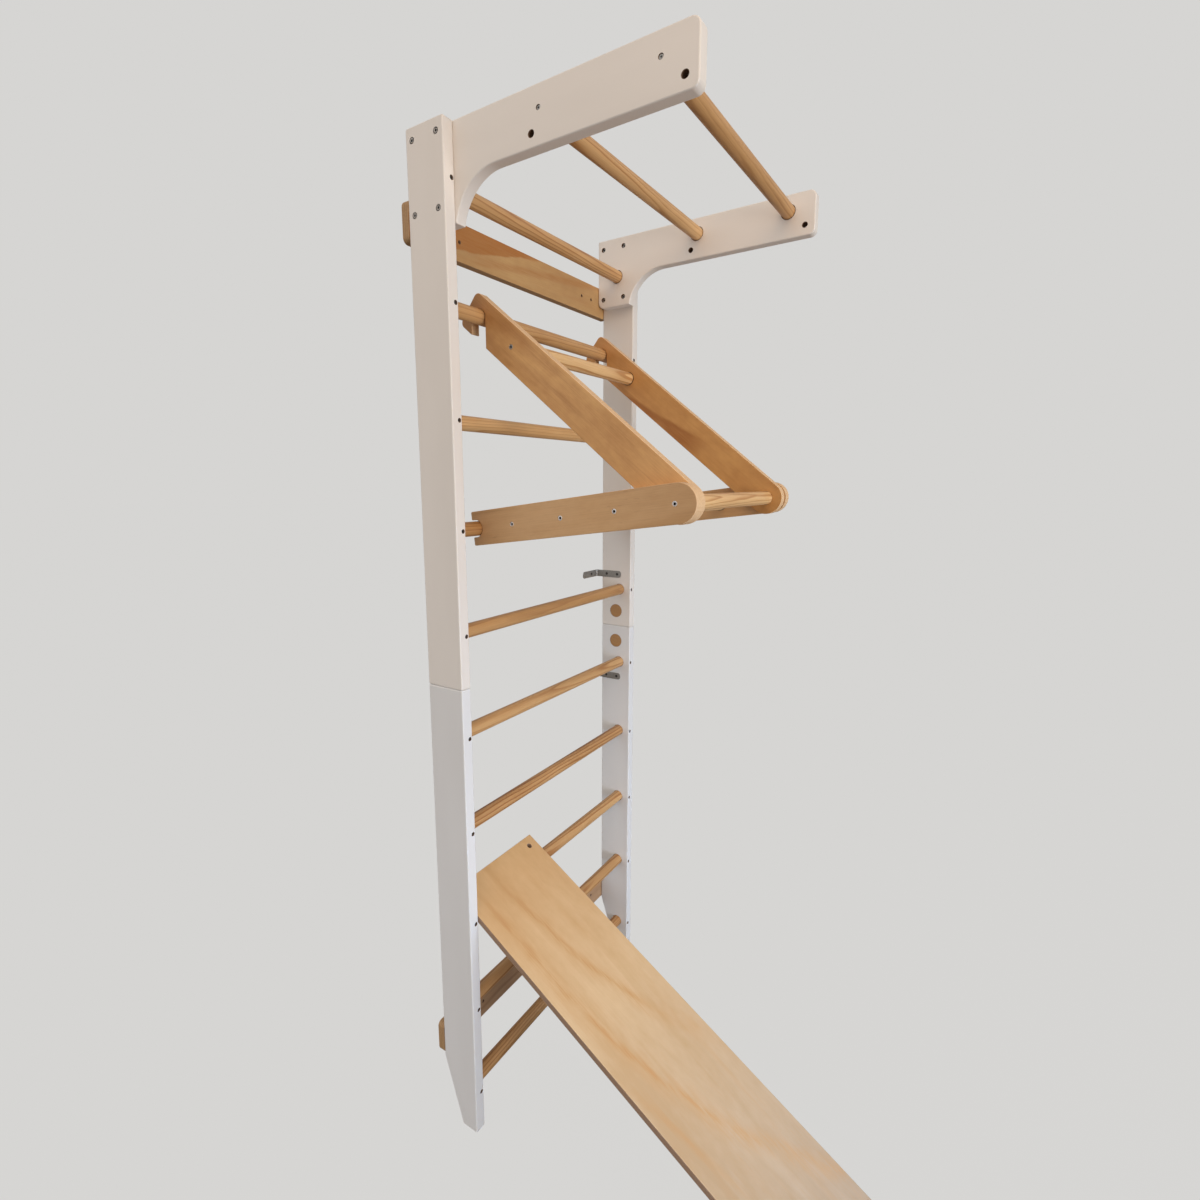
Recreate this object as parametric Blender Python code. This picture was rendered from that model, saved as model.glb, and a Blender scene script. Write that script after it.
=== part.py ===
"""Wall bars for a child's room or small gym: a two-part ladder frame with ten round rungs,
overhead arms with two hanging rungs, wall battens and steel angle brackets, a folding
triangle that hooks over the rungs, and a slide board that leans on a rung.

Metres, +Z up. X runs across the ladder, Y runs from the room (negative) to the wall,
which is the plane Y = 0, and Z = 0 is the floor. The rest pose is the one in use: the
triangle hooked on the second rung from the top and propped on the fourth, and the board
on the eighth with its foot on the floor.
"""
import math

import bmesh
import bpy
from mathutils import Matrix, Vector

# Clearances
TOUCH = 0.0003            # left between two pieces that rest on each other
RUNG_PASSAGE = 0.001      # round the top rung where it runs through the arms
PIVOT_PLAY = 0.0005       # round the triangle's pivot rung
PLATE_PLAY = 0.0005       # between the triangle's two plates on each side
CUT_MARGIN = 0.002        # how far a cutter stands out of the face it cuts

# Uprights
INSIDE_WIDTH = 0.7194     # between the inner faces
UPRIGHT_THICK = 0.028
UPRIGHT_DEPTH = 0.099
TOP_RUNG_DROP = 0.1018    # top rung axis below the ladder's top
JOINT_OVER_RUNG = 0.1142  # section joint above the lower section's last rung
TAPER_START = 0.165       # the rear edge is cut back below this height
FOOT_DEPTH = 0.045
PAINTED_EDGE = 0.003      # rounding of the painted edges

# Rungs
RUNG_RADIUS = 0.016
RUNG_SETBACK = 0.038      # rung axis behind the uprights' front face
LOWEST_RUNG = 0.1012
LOWER_PITCH = 0.22515
PITCH_AT_JOINT = 0.2302
UPPER_PITCH = 0.22355
RUNGS_PER_SECTION = 5
SOCKET_DEPTH = 0.018

# Bolted joint of the two upright sections
PLUG_RADIUS = 0.020
PLUG_THICK = 0.004
POCKET_DEPTH = 0.021
PLUG_FROM_JOINT = 0.0475
JOINT_BOLT_RADIUS = 0.004
JOINT_NUT_RADIUS = 0.0065
JOINT_NUT_HEIGHT = 0.0065
JOINT_WASHER_RADIUS = 0.008
JOINT_WASHER_THICK = 0.002
BOLT_PAST_NUT = 0.003

# Overhead arms
ARM_THICK = 0.027
ARM_REACH = 0.495         # in front of the uprights
ARM_BEAM_HEIGHT = 0.0985
ARM_HEIGHT = 0.180        # of the part that lies on the upright
GUSSET_RADIUS = 0.098
ARM_TIP_TOP_RADIUS = 0.016
ARM_TIP_BOTTOM_RADIUS = 0.013
ARM_HEEL_RADIUS = 0.018
ARM_RUNG_DROP = 0.038     # rung axis below the arm's top edge
MIDDLE_RUNG_REACH = 0.199
FRONT_RUNG_FROM_TIP = 0.064
ARM_SOCKET_DEPTH = 0.015
HANGING_HOLE_RADIUS = 0.006
HANGING_HOLE_DROP = 0.075
REAR_HOLE_BEHIND_RUNG = 0.016
FRONT_HOLE_FROM_TIP = 0.0235

# Bolts that hold each arm to its upright
ARM_BOLT_SETBACKS = (0.018, 0.082)
ARM_BOLT_DROPS = (0.024, 0.157)
ARM_BOLT_RADIUS = 0.003
BOLT_HEAD_RADIUS = 0.007
BOLT_HEAD_THICK = 0.003
SLEEVE_RADIUS = 0.0055
SLEEVE_LENGTH = 0.012
SLEEVE_RECESS = 0.005

# Wall battens
BATTEN_THICK = 0.0195
BATTEN_HEIGHT = 0.080
BATTEN_CORNER = 0.012
TOP_BATTEN_DROP = 0.1215  # its upper edge below the ladder's top
BOTTOM_BATTEN_BASE = 0.168
WALL_SCREW_POSITIONS = (0.244, 0.293)
WALL_SCREW_RADIUS = 0.0028

# Steel angle brackets
BRACKET_THICK = 0.002
BRACKET_WIDTH = 0.0205
BRACKET_WALL_LEG = 0.0815
BRACKET_SIDE_LEG = 0.0865
BRACKET_END_ROUND = 0.008
BRACKET_HOLE_RADIUS = 0.0026
BRACKET_SIDE_HOLES = (0.037, 0.0735)    # from the wall
BRACKET_WALL_HOLE = 0.035               # from the upright
UPPER_BRACKET_OVER_RUNG = 0.046
LOWER_BRACKET_UNDER_RUNG = 0.0483

# Folding triangle, hooked over one rung and propped on another
HOOK_RUNG = 2             # counted from the top
PROP_RUNG = 4
TRIANGLE_SHIFT = 0.0045   # its middle lies this far to the right
TRIANGLE_PLY = 0.024
TRIANGLE_INSIDE = 0.480   # between the two diagonal plates
TRIANGLE_REACH = 0.473    # hook rung axis to pivot axis, level
TRIANGLE_DROP = 0.38815   # hook rung axis to pivot axis, downwards
DIAGONAL_HEIGHT = 0.078
DIAGONAL_PAST_HOOK = 0.035
DIAGONAL_CORNER = 0.012
TOP_RUNG_FROM_HOOK = 0.112
NOTCH_RADIUS = 0.019
LOWER_HEIGHT = 0.075
LOWER_NOSE_SHIFT = 0.005
LOWER_PAST_PROP = 0.0112
LOWER_CORNER = 0.003
LOWER_RUNG_PITCH = 0.1255
LOWER_RUNGS = 3

# Slide board
BOARD_RUNG = 8
BOARD_THICK = 0.015
BOARD_LEFT_GAP = 0.0012   # beside the left upright
BOARD_WIDTH = 0.291
BOARD_SLOPE = math.radians(31.5)
BOARD_OVERHANG = 0.059    # past the rung, up the slope
BOARD_HOLE_RADIUS = 0.006
BOARD_HOLE_FROM_END = 0.0245
BOARD_HOLE_FROM_SIDE = 0.029
CLEAT_WIDTH = 0.036
CLEAT_HEIGHT = 0.024
CLEAT_INSET = 0.008       # from each side of the board

# Facets
ROUND_STEPS = 24
SMALL_ROUND_STEPS = 12
CORNER_STEPS = 6
GUSSET_STEPS = 12
BRACKET_END_STEPS = 4
ARC_PROFILE = 0.5         # a bevel with this profile is an arc

# Places worked out from the sizes above
BATTEN_FRONT = -BATTEN_THICK
REAR = BATTEN_FRONT - TOUCH
FRONT = REAR - UPRIGHT_DEPTH
INNER = INSIDE_WIDTH / 2
OUTER = INNER + UPRIGHT_THICK
MID_DEPTH = (FRONT + REAR) / 2
RUNG_Y = FRONT + RUNG_SETBACK
ARM_OUTER = INNER - TOUCH
ARM_INNER = ARM_OUTER - ARM_THICK
SIDES = {"left": -1, "right": 1}


def rung_heights():
    """Rung axis heights, counted from the top as on the finished ladder."""
    lower = [LOWEST_RUNG + LOWER_PITCH * i for i in range(RUNGS_PER_SECTION)]
    first_upper = lower[-1] + PITCH_AT_JOINT
    upper = [first_upper + UPPER_PITCH * i for i in range(RUNGS_PER_SECTION)]
    return list(reversed(lower + upper))


RUNG_Z = rung_heights()
LADDER_TOP = RUNG_Z[0] + TOP_RUNG_DROP
SECTION_JOINT = RUNG_Z[RUNGS_PER_SECTION] + JOINT_OVER_RUNG
ARM_RUNG_Z = LADDER_TOP - ARM_RUNG_DROP
BEAM_BOTTOM = LADDER_TOP - ARM_BEAM_HEIGHT
ARM_RUNG_REACHES = {"middle": MIDDLE_RUNG_REACH, "front": ARM_REACH - FRONT_RUNG_FROM_TIP}
HANGING_HOLE_REACHES = (MIDDLE_RUNG_REACH - REAR_HOLE_BEHIND_RUNG,
                        ARM_REACH - FRONT_HOLE_FROM_TIP)
BRACKET_HEIGHTS = {"upper": RUNG_Z[RUNGS_PER_SECTION - 1] + UPPER_BRACKET_OVER_RUNG,
                   "lower": RUNG_Z[RUNGS_PER_SECTION] - LOWER_BRACKET_UNDER_RUNG}
HOOK = Vector((RUNG_Y, RUNG_Z[HOOK_RUNG - 1]))
PROP = Vector((RUNG_Y, RUNG_Z[PROP_RUNG - 1]))
PIVOT = HOOK - Vector((TRIANGLE_REACH, TRIANGLE_DROP))


def material(name, colour, roughness, metallic=0.0):
    made = bpy.data.materials.new(name)
    made.use_nodes = True
    shader = made.node_tree.nodes["Principled BSDF"]
    shader.inputs["Base Color"].default_value = (*colour, 1.0)
    shader.inputs["Roughness"].default_value = roughness
    shader.inputs["Metallic"].default_value = metallic
    made.diffuse_color = (*colour, 1.0)
    return made


def clear_scene():
    for old in list(bpy.data.objects):
        bpy.data.objects.remove(old, do_unlink=True)


def place(name, bm, finish, origin=(0, 0, 0), parent=None):
    """Turn a bmesh built in world places into an object whose origin is at the given point."""
    bmesh.ops.recalc_face_normals(bm, faces=bm.faces)
    bmesh.ops.translate(bm, verts=bm.verts, vec=-Vector(origin))
    mesh = bpy.data.meshes.new(name)
    bm.to_mesh(mesh)
    bm.free()
    mesh.materials.append(finish)
    made = bpy.data.objects.new(name, mesh)
    bpy.context.collection.objects.link(made)
    if parent:
        made.parent = parent
        made.location = Vector(origin) - parent.location
    else:
        made.location = origin
    return made


def smooth(made):
    made.data.shade_smooth()
    made.data.set_sharp_from_angle(angle=math.radians(40))
    return made


def to_space(axis, u, v, along):
    """Outline point (u, v) at a distance along the axis that the outline is pushed out on."""
    if axis == "X":
        return (along, u, v)
    if axis == "Y":
        return (u, along, v)
    return (u, v, along)


def slab(outline, axis, low, high):
    """Closed outline pushed out from low to high along an axis."""
    bm = bmesh.new()
    base = [bm.verts.new(to_space(axis, u, v, low)) for u, v in outline]
    cap = bm.faces.new(base)
    pushed = bmesh.ops.extrude_face_region(bm, geom=[cap])["geom"]
    moved = [part for part in pushed if isinstance(part, bmesh.types.BMVert)]
    bmesh.ops.translate(bm, verts=moved, vec=Vector(to_space(axis, 0, 0, high - low)))
    return bm


def turned(profile, axis, u, v, steps=ROUND_STEPS, bm=None):
    """Closed round solid: profile holds (place along the axis, radius) from end to end."""
    bm = bm or bmesh.new()
    rings = []
    for along, radius in profile:
        ring = []
        for step in range(steps):
            turn = 2 * math.pi * (step + 0.5) / steps
            point = to_space(axis, u + radius * math.cos(turn), v + radius * math.sin(turn), along)
            ring.append(bm.verts.new(point))
        rings.append(ring)
    for first, second in zip(rings, rings[1:]):
        for step in range(steps):
            after = (step + 1) % steps
            bm.faces.new((first[step], first[after], second[after], second[step]))
    bm.faces.new(rings[0])
    bm.faces.new(rings[-1])
    return bm


def arc(centre, radius, start, end, steps):
    """Points of an arc from one angle to another, in degrees."""
    points = []
    for step in range(steps + 1):
        turn = math.radians(start + (end - start) * step / steps)
        points.append((centre[0] + radius * math.cos(turn), centre[1] + radius * math.sin(turn)))
    return points


def rounded(corners):
    """Outline through corners (u, v, radius), each rounded by an arc that touches both sides."""
    outline = []
    count = len(corners)
    for index, (u, v, radius) in enumerate(corners):
        here = Vector((u, v))
        if radius <= 0:
            outline.append((u, v))
            continue
        back = (Vector(corners[index - 1][:2]) - here).normalized()
        ahead = (Vector(corners[(index + 1) % count][:2]) - here).normalized()
        half = back.angle(ahead) / 2
        centre = here + (back + ahead).normalized() * radius / math.sin(half)
        first = here + back * radius / math.tan(half) - centre
        last = here + ahead * radius / math.tan(half) - centre
        sweep = first.angle_signed(last)
        for step in range(CORNER_STEPS + 1):
            spoke = first.copy()
            spoke.rotate(Matrix.Rotation(-sweep * step / CORNER_STEPS, 2))
            outline.append(tuple(centre + spoke))
    return outline


def soften(made, width):
    """Round a piece's long edges."""
    bevel = made.modifiers.new("edges", "BEVEL")
    bevel.width = width
    bevel.segments = 2
    bevel.limit_method = "ANGLE"
    bevel.angle_limit = math.radians(50)
    bevel.use_clamp_overlap = True


def cut(made, name, bm):
    """Cut a shape out of a piece with a Boolean."""
    bmesh.ops.recalc_face_normals(bm, faces=bm.faces)
    mesh = bpy.data.meshes.new(name)
    bm.to_mesh(mesh)
    bm.free()
    cutter = bpy.data.objects.new(name, mesh)
    bpy.context.collection.objects.link(cutter)
    cutter.hide_render = True
    cutter.display_type = "WIRE"
    hole = made.modifiers.new(name, "BOOLEAN")
    hole.operation = "DIFFERENCE"
    hole.solver = "EXACT"
    hole.object = cutter


def drill(made, name, holes):
    """Cut round holes; each is (profile, axis, u, v, steps) and none meets another."""
    bm = bmesh.new()
    for profile, axis, u, v, steps in holes:
        turned(profile, axis, u, v, steps, bm)
    cut(made, name, bm)


def hole(low, high, radius, axis, u, v, steps=ROUND_STEPS):
    return ([(low, radius), (high, radius)], axis, u, v, steps)


def blind_from_inside(side, face, depth, radius, u, v, steps=ROUND_STEPS):
    """Hole from a face that looks at the ladder's middle, going outwards."""
    low, high = sorted((side * (face - CUT_MARGIN), side * (face + depth)))
    return hole(low, high, radius, "X", u, v, steps)


def joint_bolt_x(side):
    return side * (INNER + (PLUG_THICK + POCKET_DEPTH) / 2)


def upright_outline(bottom, top, tapered):
    if tapered:
        return [(FRONT, bottom), (FRONT + FOOT_DEPTH, bottom), (REAR, TAPER_START),
                (REAR, top), (FRONT, top)]
    return [(FRONT, bottom), (REAR, bottom), (REAR, top), (FRONT, top)]


def arm_bolt_places():
    """Arm bolt axes as (y, z)."""
    return [(FRONT + setback, LADDER_TOP - drop)
            for drop in ARM_BOLT_DROPS for setback in ARM_BOLT_SETBACKS]


def make_upright(side_name, section, paint):
    side = SIDES[side_name]
    is_upper = section == "upper"
    if is_upper:
        bottom, top, rungs = SECTION_JOINT + TOUCH / 2, LADDER_TOP, RUNG_Z[:RUNGS_PER_SECTION]
        plug_z = SECTION_JOINT + PLUG_FROM_JOINT
    else:
        bottom, top, rungs = 0.0, SECTION_JOINT - TOUCH / 2, RUNG_Z[RUNGS_PER_SECTION:]
        plug_z = SECTION_JOINT - PLUG_FROM_JOINT
    low, high = sorted((side * INNER, side * OUTER))
    outline = upright_outline(bottom, top, not is_upper)
    made = place(f"{side_name}_upright_{section}", slab(outline, "X", low, high), paint)
    soften(made, PAINTED_EDGE)
    ends = sorted((plug_z, SECTION_JOINT + (-CUT_MARGIN if is_upper else CUT_MARGIN)))
    drill(made, f"{made.name}_bolt_hole",
          [hole(*ends, JOINT_BOLT_RADIUS + TOUCH, "Z", joint_bolt_x(side), MID_DEPTH,
                SMALL_ROUND_STEPS)])
    sockets = [blind_from_inside(side, INNER, SOCKET_DEPTH, RUNG_RADIUS + TOUCH, RUNG_Y, z)
               for z in rungs]
    sockets.append(blind_from_inside(side, INNER, POCKET_DEPTH, PLUG_RADIUS + TOUCH,
                                     MID_DEPTH, plug_z))
    if is_upper:
        for y, z in arm_bolt_places():
            near, far = sorted((side * (INNER - CUT_MARGIN), side * (OUTER + CUT_MARGIN)))
            sunk = side * (OUTER - BOLT_HEAD_THICK - TOUCH)
            shank, head = ARM_BOLT_RADIUS + TOUCH, BOLT_HEAD_RADIUS + TOUCH
            if side > 0:
                profile = [(near, shank), (sunk, shank), (sunk, head), (far, head)]
            else:
                profile = [(near, head), (sunk, head), (sunk, shank), (far, shank)]
            sockets.append((profile, "X", y, z, SMALL_ROUND_STEPS))
    drill(made, f"{made.name}_sockets", sockets)


def make_ladder_rungs(timber):
    reach = INNER + SOCKET_DEPTH - TOUCH
    for number, z in enumerate(RUNG_Z, start=1):
        profile = [(-reach, RUNG_RADIUS), (reach, RUNG_RADIUS)]
        smooth(place(f"rung_{number:02d}", turned(profile, "X", RUNG_Y, z), timber,
                     (0, RUNG_Y, z)))


def make_section_joint(side_name, ply, steel):
    """Bolt, nut and the two plugs that join and cover the sections of one upright."""
    side = SIDES[side_name]
    for place_name, turn in (("upper", 1), ("lower", -1)):
        z = SECTION_JOINT + turn * PLUG_FROM_JOINT
        low, high = sorted((side * INNER, side * (INNER + PLUG_THICK)))
        plug = turned([(low, PLUG_RADIUS), (high, PLUG_RADIUS)], "X", MID_DEPTH, z)
        smooth(place(f"{side_name}_joint_plug_{place_name}", plug, ply))
    x = joint_bolt_x(side)
    pocket = PLUG_RADIUS + TOUCH
    seat = PLUG_FROM_JOINT - math.sqrt(pocket ** 2 - JOINT_WASHER_RADIUS ** 2) + TOUCH
    washer_face = seat + JOINT_WASHER_THICK
    nut_face = washer_face + JOINT_NUT_HEIGHT
    top_end = SECTION_JOINT + nut_face + BOLT_PAST_NUT
    profile = [(SECTION_JOINT - nut_face, JOINT_NUT_RADIUS),
               (SECTION_JOINT - washer_face, JOINT_NUT_RADIUS),
               (SECTION_JOINT - washer_face, JOINT_WASHER_RADIUS),
               (SECTION_JOINT - seat, JOINT_WASHER_RADIUS),
               (SECTION_JOINT - seat, JOINT_BOLT_RADIUS),
               (top_end, JOINT_BOLT_RADIUS)]
    place(f"{side_name}_joint_bolt",
          turned(profile, "Z", x, MID_DEPTH, SMALL_ROUND_STEPS), steel)
    profile = [(SECTION_JOINT + seat, JOINT_WASHER_RADIUS),
               (SECTION_JOINT + washer_face, JOINT_WASHER_RADIUS),
               (SECTION_JOINT + washer_face, JOINT_NUT_RADIUS),
               (SECTION_JOINT + nut_face, JOINT_NUT_RADIUS)]
    nut = place(f"{side_name}_joint_nut",
                turned(profile, "Z", x, MID_DEPTH, SMALL_ROUND_STEPS), steel)
    ends = (SECTION_JOINT + seat - CUT_MARGIN, SECTION_JOINT + nut_face + CUT_MARGIN)
    drill(nut, f"{nut.name}_bore",
          [hole(*ends, JOINT_BOLT_RADIUS + TOUCH, "Z", x, MID_DEPTH, SMALL_ROUND_STEPS)])


def arm_outline():
    tip = FRONT - ARM_REACH
    bottom = LADDER_TOP - ARM_HEIGHT
    centre = (FRONT - GUSSET_RADIUS, BEAM_BOTTOM - GUSSET_RADIUS)
    end_turn = math.degrees(math.asin((bottom - centre[1]) / GUSSET_RADIUS))
    gusset = arc(centre, GUSSET_RADIUS, 90, end_turn, GUSSET_STEPS)
    corners = [(u, v, 0.0) for u, v in gusset]
    corners += [(REAR, bottom, ARM_HEEL_RADIUS), (REAR, LADDER_TOP, 0.0),
                (tip, LADDER_TOP, ARM_TIP_TOP_RADIUS), (tip, BEAM_BOTTOM, ARM_TIP_BOTTOM_RADIUS)]
    return rounded(corners)


def make_arm(side_name, paint):
    side = SIDES[side_name]
    low, high = sorted((side * ARM_INNER, side * ARM_OUTER))
    made = place(f"{side_name}_arm", slab(arm_outline(), "X", low, high), paint)
    soften(made, PAINTED_EDGE)
    near, far = low - CUT_MARGIN, high + CUT_MARGIN
    holes = [hole(near, far, RUNG_RADIUS + RUNG_PASSAGE, "X", RUNG_Y, RUNG_Z[0])]
    for reach in ARM_RUNG_REACHES.values():
        holes.append(blind_from_inside(side, ARM_INNER, ARM_SOCKET_DEPTH, RUNG_RADIUS + TOUCH,
                                       FRONT - reach, ARM_RUNG_Z))
    for reach in HANGING_HOLE_REACHES:
        holes.append(hole(near, far, HANGING_HOLE_RADIUS, "X", FRONT - reach,
                          LADDER_TOP - HANGING_HOLE_DROP, SMALL_ROUND_STEPS))
    step = ARM_INNER + SLEEVE_RECESS + SLEEVE_LENGTH + TOUCH
    shank, sleeve = ARM_BOLT_RADIUS + TOUCH, SLEEVE_RADIUS + TOUCH
    for y, z in arm_bolt_places():
        if side > 0:
            profile = [(near, sleeve), (step, sleeve), (step, shank), (far, shank)]
        else:
            profile = [(near, shank), (-step, shank), (-step, sleeve), (far, sleeve)]
        holes.append((profile, "X", y, z, SMALL_ROUND_STEPS))
    drill(made, f"{made.name}_holes", holes)


def make_arm_bolts(side_name, steel):
    """One bolt with its sleeve nut on it, as one solid, at each fixing of the arm."""
    side = SIDES[side_name]
    head_in = OUTER - BOLT_HEAD_THICK
    sleeve_out = ARM_INNER + SLEEVE_RECESS + SLEEVE_LENGTH
    profile = [(side * (ARM_INNER + SLEEVE_RECESS), SLEEVE_RADIUS),
               (side * sleeve_out, SLEEVE_RADIUS), (side * sleeve_out, ARM_BOLT_RADIUS),
               (side * head_in, ARM_BOLT_RADIUS), (side * head_in, BOLT_HEAD_RADIUS),
               (side * OUTER, BOLT_HEAD_RADIUS)]
    for number, (y, z) in enumerate(arm_bolt_places(), start=1):
        place(f"{side_name}_arm_bolt_{number}",
              turned(profile, "X", y, z, SMALL_ROUND_STEPS), steel, (0, y, z))


def make_arm_rungs(timber):
    end = ARM_INNER + ARM_SOCKET_DEPTH - TOUCH
    for name, reach in ARM_RUNG_REACHES.items():
        y = FRONT - reach
        profile = [(-end, RUNG_RADIUS), (end, RUNG_RADIUS)]
        smooth(place(f"arm_rung_{name}", turned(profile, "X", y, ARM_RUNG_Z), timber,
                     (0, y, ARM_RUNG_Z)))


def make_batten(name, base, ply):
    top = base + BATTEN_HEIGHT
    corners = [(-OUTER, base, BATTEN_CORNER), (OUTER, base, BATTEN_CORNER),
               (OUTER, top, BATTEN_CORNER), (-OUTER, top, BATTEN_CORNER)]
    made = place(f"wall_batten_{name}", slab(rounded(corners), "Y", BATTEN_FRONT, 0.0), ply)
    middle = base + BATTEN_HEIGHT / 2
    ends = (BATTEN_FRONT - CUT_MARGIN, CUT_MARGIN)
    drill(made, f"{made.name}_screw_holes",
          [hole(*ends, WALL_SCREW_RADIUS, "Y", turn * x, middle, SMALL_ROUND_STEPS)
           for x in WALL_SCREW_POSITIONS for turn in (-1, 1)])


def make_bracket(side_name, level, steel):
    """Angle bracket: one leg on the upright's inner face, the other flat on the wall."""
    side = SIDES[side_name]
    face = side * (INNER - TOUCH)
    inside = face - side * BRACKET_THICK
    wall_end = face - side * BRACKET_WALL_LEG
    outline = [(face, 0.0), (wall_end, 0.0), (wall_end, -BRACKET_THICK),
               (inside, -BRACKET_THICK), (inside, -BRACKET_SIDE_LEG), (face, -BRACKET_SIDE_LEG)]
    z = BRACKET_HEIGHTS[level]
    low, high = z - BRACKET_WIDTH / 2, z + BRACKET_WIDTH / 2
    bm = slab(outline, "Z", low, high)
    ends = []
    for edge in bm.edges:
        middle = (edge.verts[0].co + edge.verts[1].co) / 2
        is_short = abs(edge.calc_length() - BRACKET_THICK) < BRACKET_THICK / 100
        at_end = abs(middle.x - wall_end) < BRACKET_THICK / 100
        at_end = at_end or abs(middle.y + BRACKET_SIDE_LEG) < BRACKET_THICK / 100
        if is_short and at_end:
            ends.append(edge)
    bmesh.ops.bevel(bm, geom=ends, offset=BRACKET_END_ROUND, offset_type="OFFSET",
                    segments=BRACKET_END_STEPS, profile=ARC_PROFILE, affect="EDGES")
    made = place(f"{side_name}_bracket_{level}", bm, steel)
    across = sorted((inside - side * CUT_MARGIN, face + side * CUT_MARGIN))
    holes = [hole(*across, BRACKET_HOLE_RADIUS, "X", -back, z, SMALL_ROUND_STEPS)
             for back in BRACKET_SIDE_HOLES]
    holes.append(hole(-BRACKET_THICK - CUT_MARGIN, CUT_MARGIN, BRACKET_HOLE_RADIUS, "Y",
                      side * (INNER - BRACKET_WALL_HOLE), z, SMALL_ROUND_STEPS))
    drill(made, f"{made.name}_holes", holes)


def along(start, end):
    """Unit vector from one point to another, and the one a quarter turn to its left."""
    forward = (end - start).normalized()
    return forward, Vector((-forward.y, forward.x))


def in_plate(start, forward, left, u, v):
    return tuple(start + forward * u + left * v)


def slot(centre, opening, radius, length):
    """Outline of a slot with a round end at the centre, open in the given direction."""
    left = Vector((-opening.y, opening.x))
    turn = math.degrees(math.atan2(left.y, left.x))
    return arc(centre, radius, turn, turn + 180, ROUND_STEPS // 2) + [
        tuple(centre - left * radius + opening * length),
        tuple(centre + left * radius + opening * length)]


def plate_faces(side, nearest):
    """Both faces of a triangle plate, from the distance of its inner face to the middle."""
    first = TRIANGLE_SHIFT + side * nearest
    return sorted((first, first + side * TRIANGLE_PLY))


DIAGONAL_INNER = TRIANGLE_INSIDE / 2
LOWER_INNER = DIAGONAL_INNER + TRIANGLE_PLY + PLATE_PLAY


def make_diagonal_plate(side_name, ply, swing):
    """Plate from the pivot up to its hook over the ladder's rung."""
    side = SIDES[side_name]
    forward, left = along(PIVOT, HOOK)
    half = DIAGONAL_HEIGHT / 2
    end = (HOOK - PIVOT).length + DIAGONAL_PAST_HOOK
    nose = [(u, v, 0.0) for u, v in arc((0, 0), half, 90, 270, ROUND_STEPS // 2)]
    corners = nose + [(end, -half, DIAGONAL_CORNER), (end, half, DIAGONAL_CORNER)]
    outline = [in_plate(PIVOT, forward, left, u, v) for u, v in rounded(corners)]
    low, high = plate_faces(side, DIAGONAL_INNER)
    made = place(f"triangle_diagonal_{side_name}", slab(outline, "X", low, high), ply,
                 (0, *HOOK), swing)
    near, far = low - CUT_MARGIN, high + CUT_MARGIN
    down = Vector((0, -1))
    seat = HOOK + down * (NOTCH_RADIUS - RUNG_RADIUS - TOUCH)
    cut(made, f"{made.name}_hook", slab(slot(seat, down, NOTCH_RADIUS, 2 * DIAGONAL_HEIGHT),
                                        "X", near, far))
    drill(made, f"{made.name}_pivot_hole",
          [hole(near, far, RUNG_RADIUS + PIVOT_PLAY, "X", *PIVOT)])


def make_lower_plate(side_name, ply, fold):
    """Plate from the pivot back to its fork round the ladder's rung."""
    side = SIDES[side_name]
    forward, left = along(PIVOT, PROP)
    half = LOWER_HEIGHT / 2
    end = (PROP - PIVOT).length + LOWER_PAST_PROP
    nose = [(u, v, 0.0) for u, v in arc((-LOWER_NOSE_SHIFT, 0), half, 90, 270, ROUND_STEPS // 2)]
    corners = nose + [(end, -half, LOWER_CORNER), (end, half, LOWER_CORNER)]
    outline = [in_plate(PIVOT, forward, left, u, v) for u, v in rounded(corners)]
    low, high = plate_faces(side, LOWER_INNER)
    made = place(f"triangle_lower_{side_name}", slab(outline, "X", low, high), ply,
                 (0, *PIVOT), fold)
    seat = PROP + forward * (NOTCH_RADIUS - RUNG_RADIUS - TOUCH)
    cut(made, f"{made.name}_fork", slab(slot(seat, forward, NOTCH_RADIUS, LOWER_HEIGHT),
                                        "X", low - CUT_MARGIN, high + CUT_MARGIN))


def make_triangle_rung(name, centre, half_span, timber, origin, parent):
    profile = [(TRIANGLE_SHIFT - half_span, RUNG_RADIUS), (TRIANGLE_SHIFT + half_span, RUNG_RADIUS)]
    smooth(place(f"triangle_{name}_rung", turned(profile, "X", *centre), timber, origin, parent))


def empty_at(name, y, z):
    made = bpy.data.objects.new(name, None)
    bpy.context.collection.objects.link(made)
    made.location = (0, y, z)
    return made


def make_triangle(ply, timber):
    swing = empty_at("triangle_swing_axis", *HOOK)
    fold = empty_at("triangle_fold_axis", *PIVOT)
    for side_name in SIDES:
        make_diagonal_plate(side_name, ply, swing)
        make_lower_plate(side_name, ply, fold)
    up_diagonal, _ = along(PIVOT, HOOK)
    make_triangle_rung("top", HOOK - up_diagonal * TOP_RUNG_FROM_HOOK,
                       DIAGONAL_INNER - TOUCH, timber, (0, *HOOK), swing)
    back, _ = along(PIVOT, PROP)
    for number in range(LOWER_RUNGS + 1):
        name = f"lower_{number}" if number else "pivot"
        make_triangle_rung(name, PIVOT + back * LOWER_RUNG_PITCH * number,
                           LOWER_INNER - TOUCH, timber, (0, *PIVOT), fold)


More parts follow.
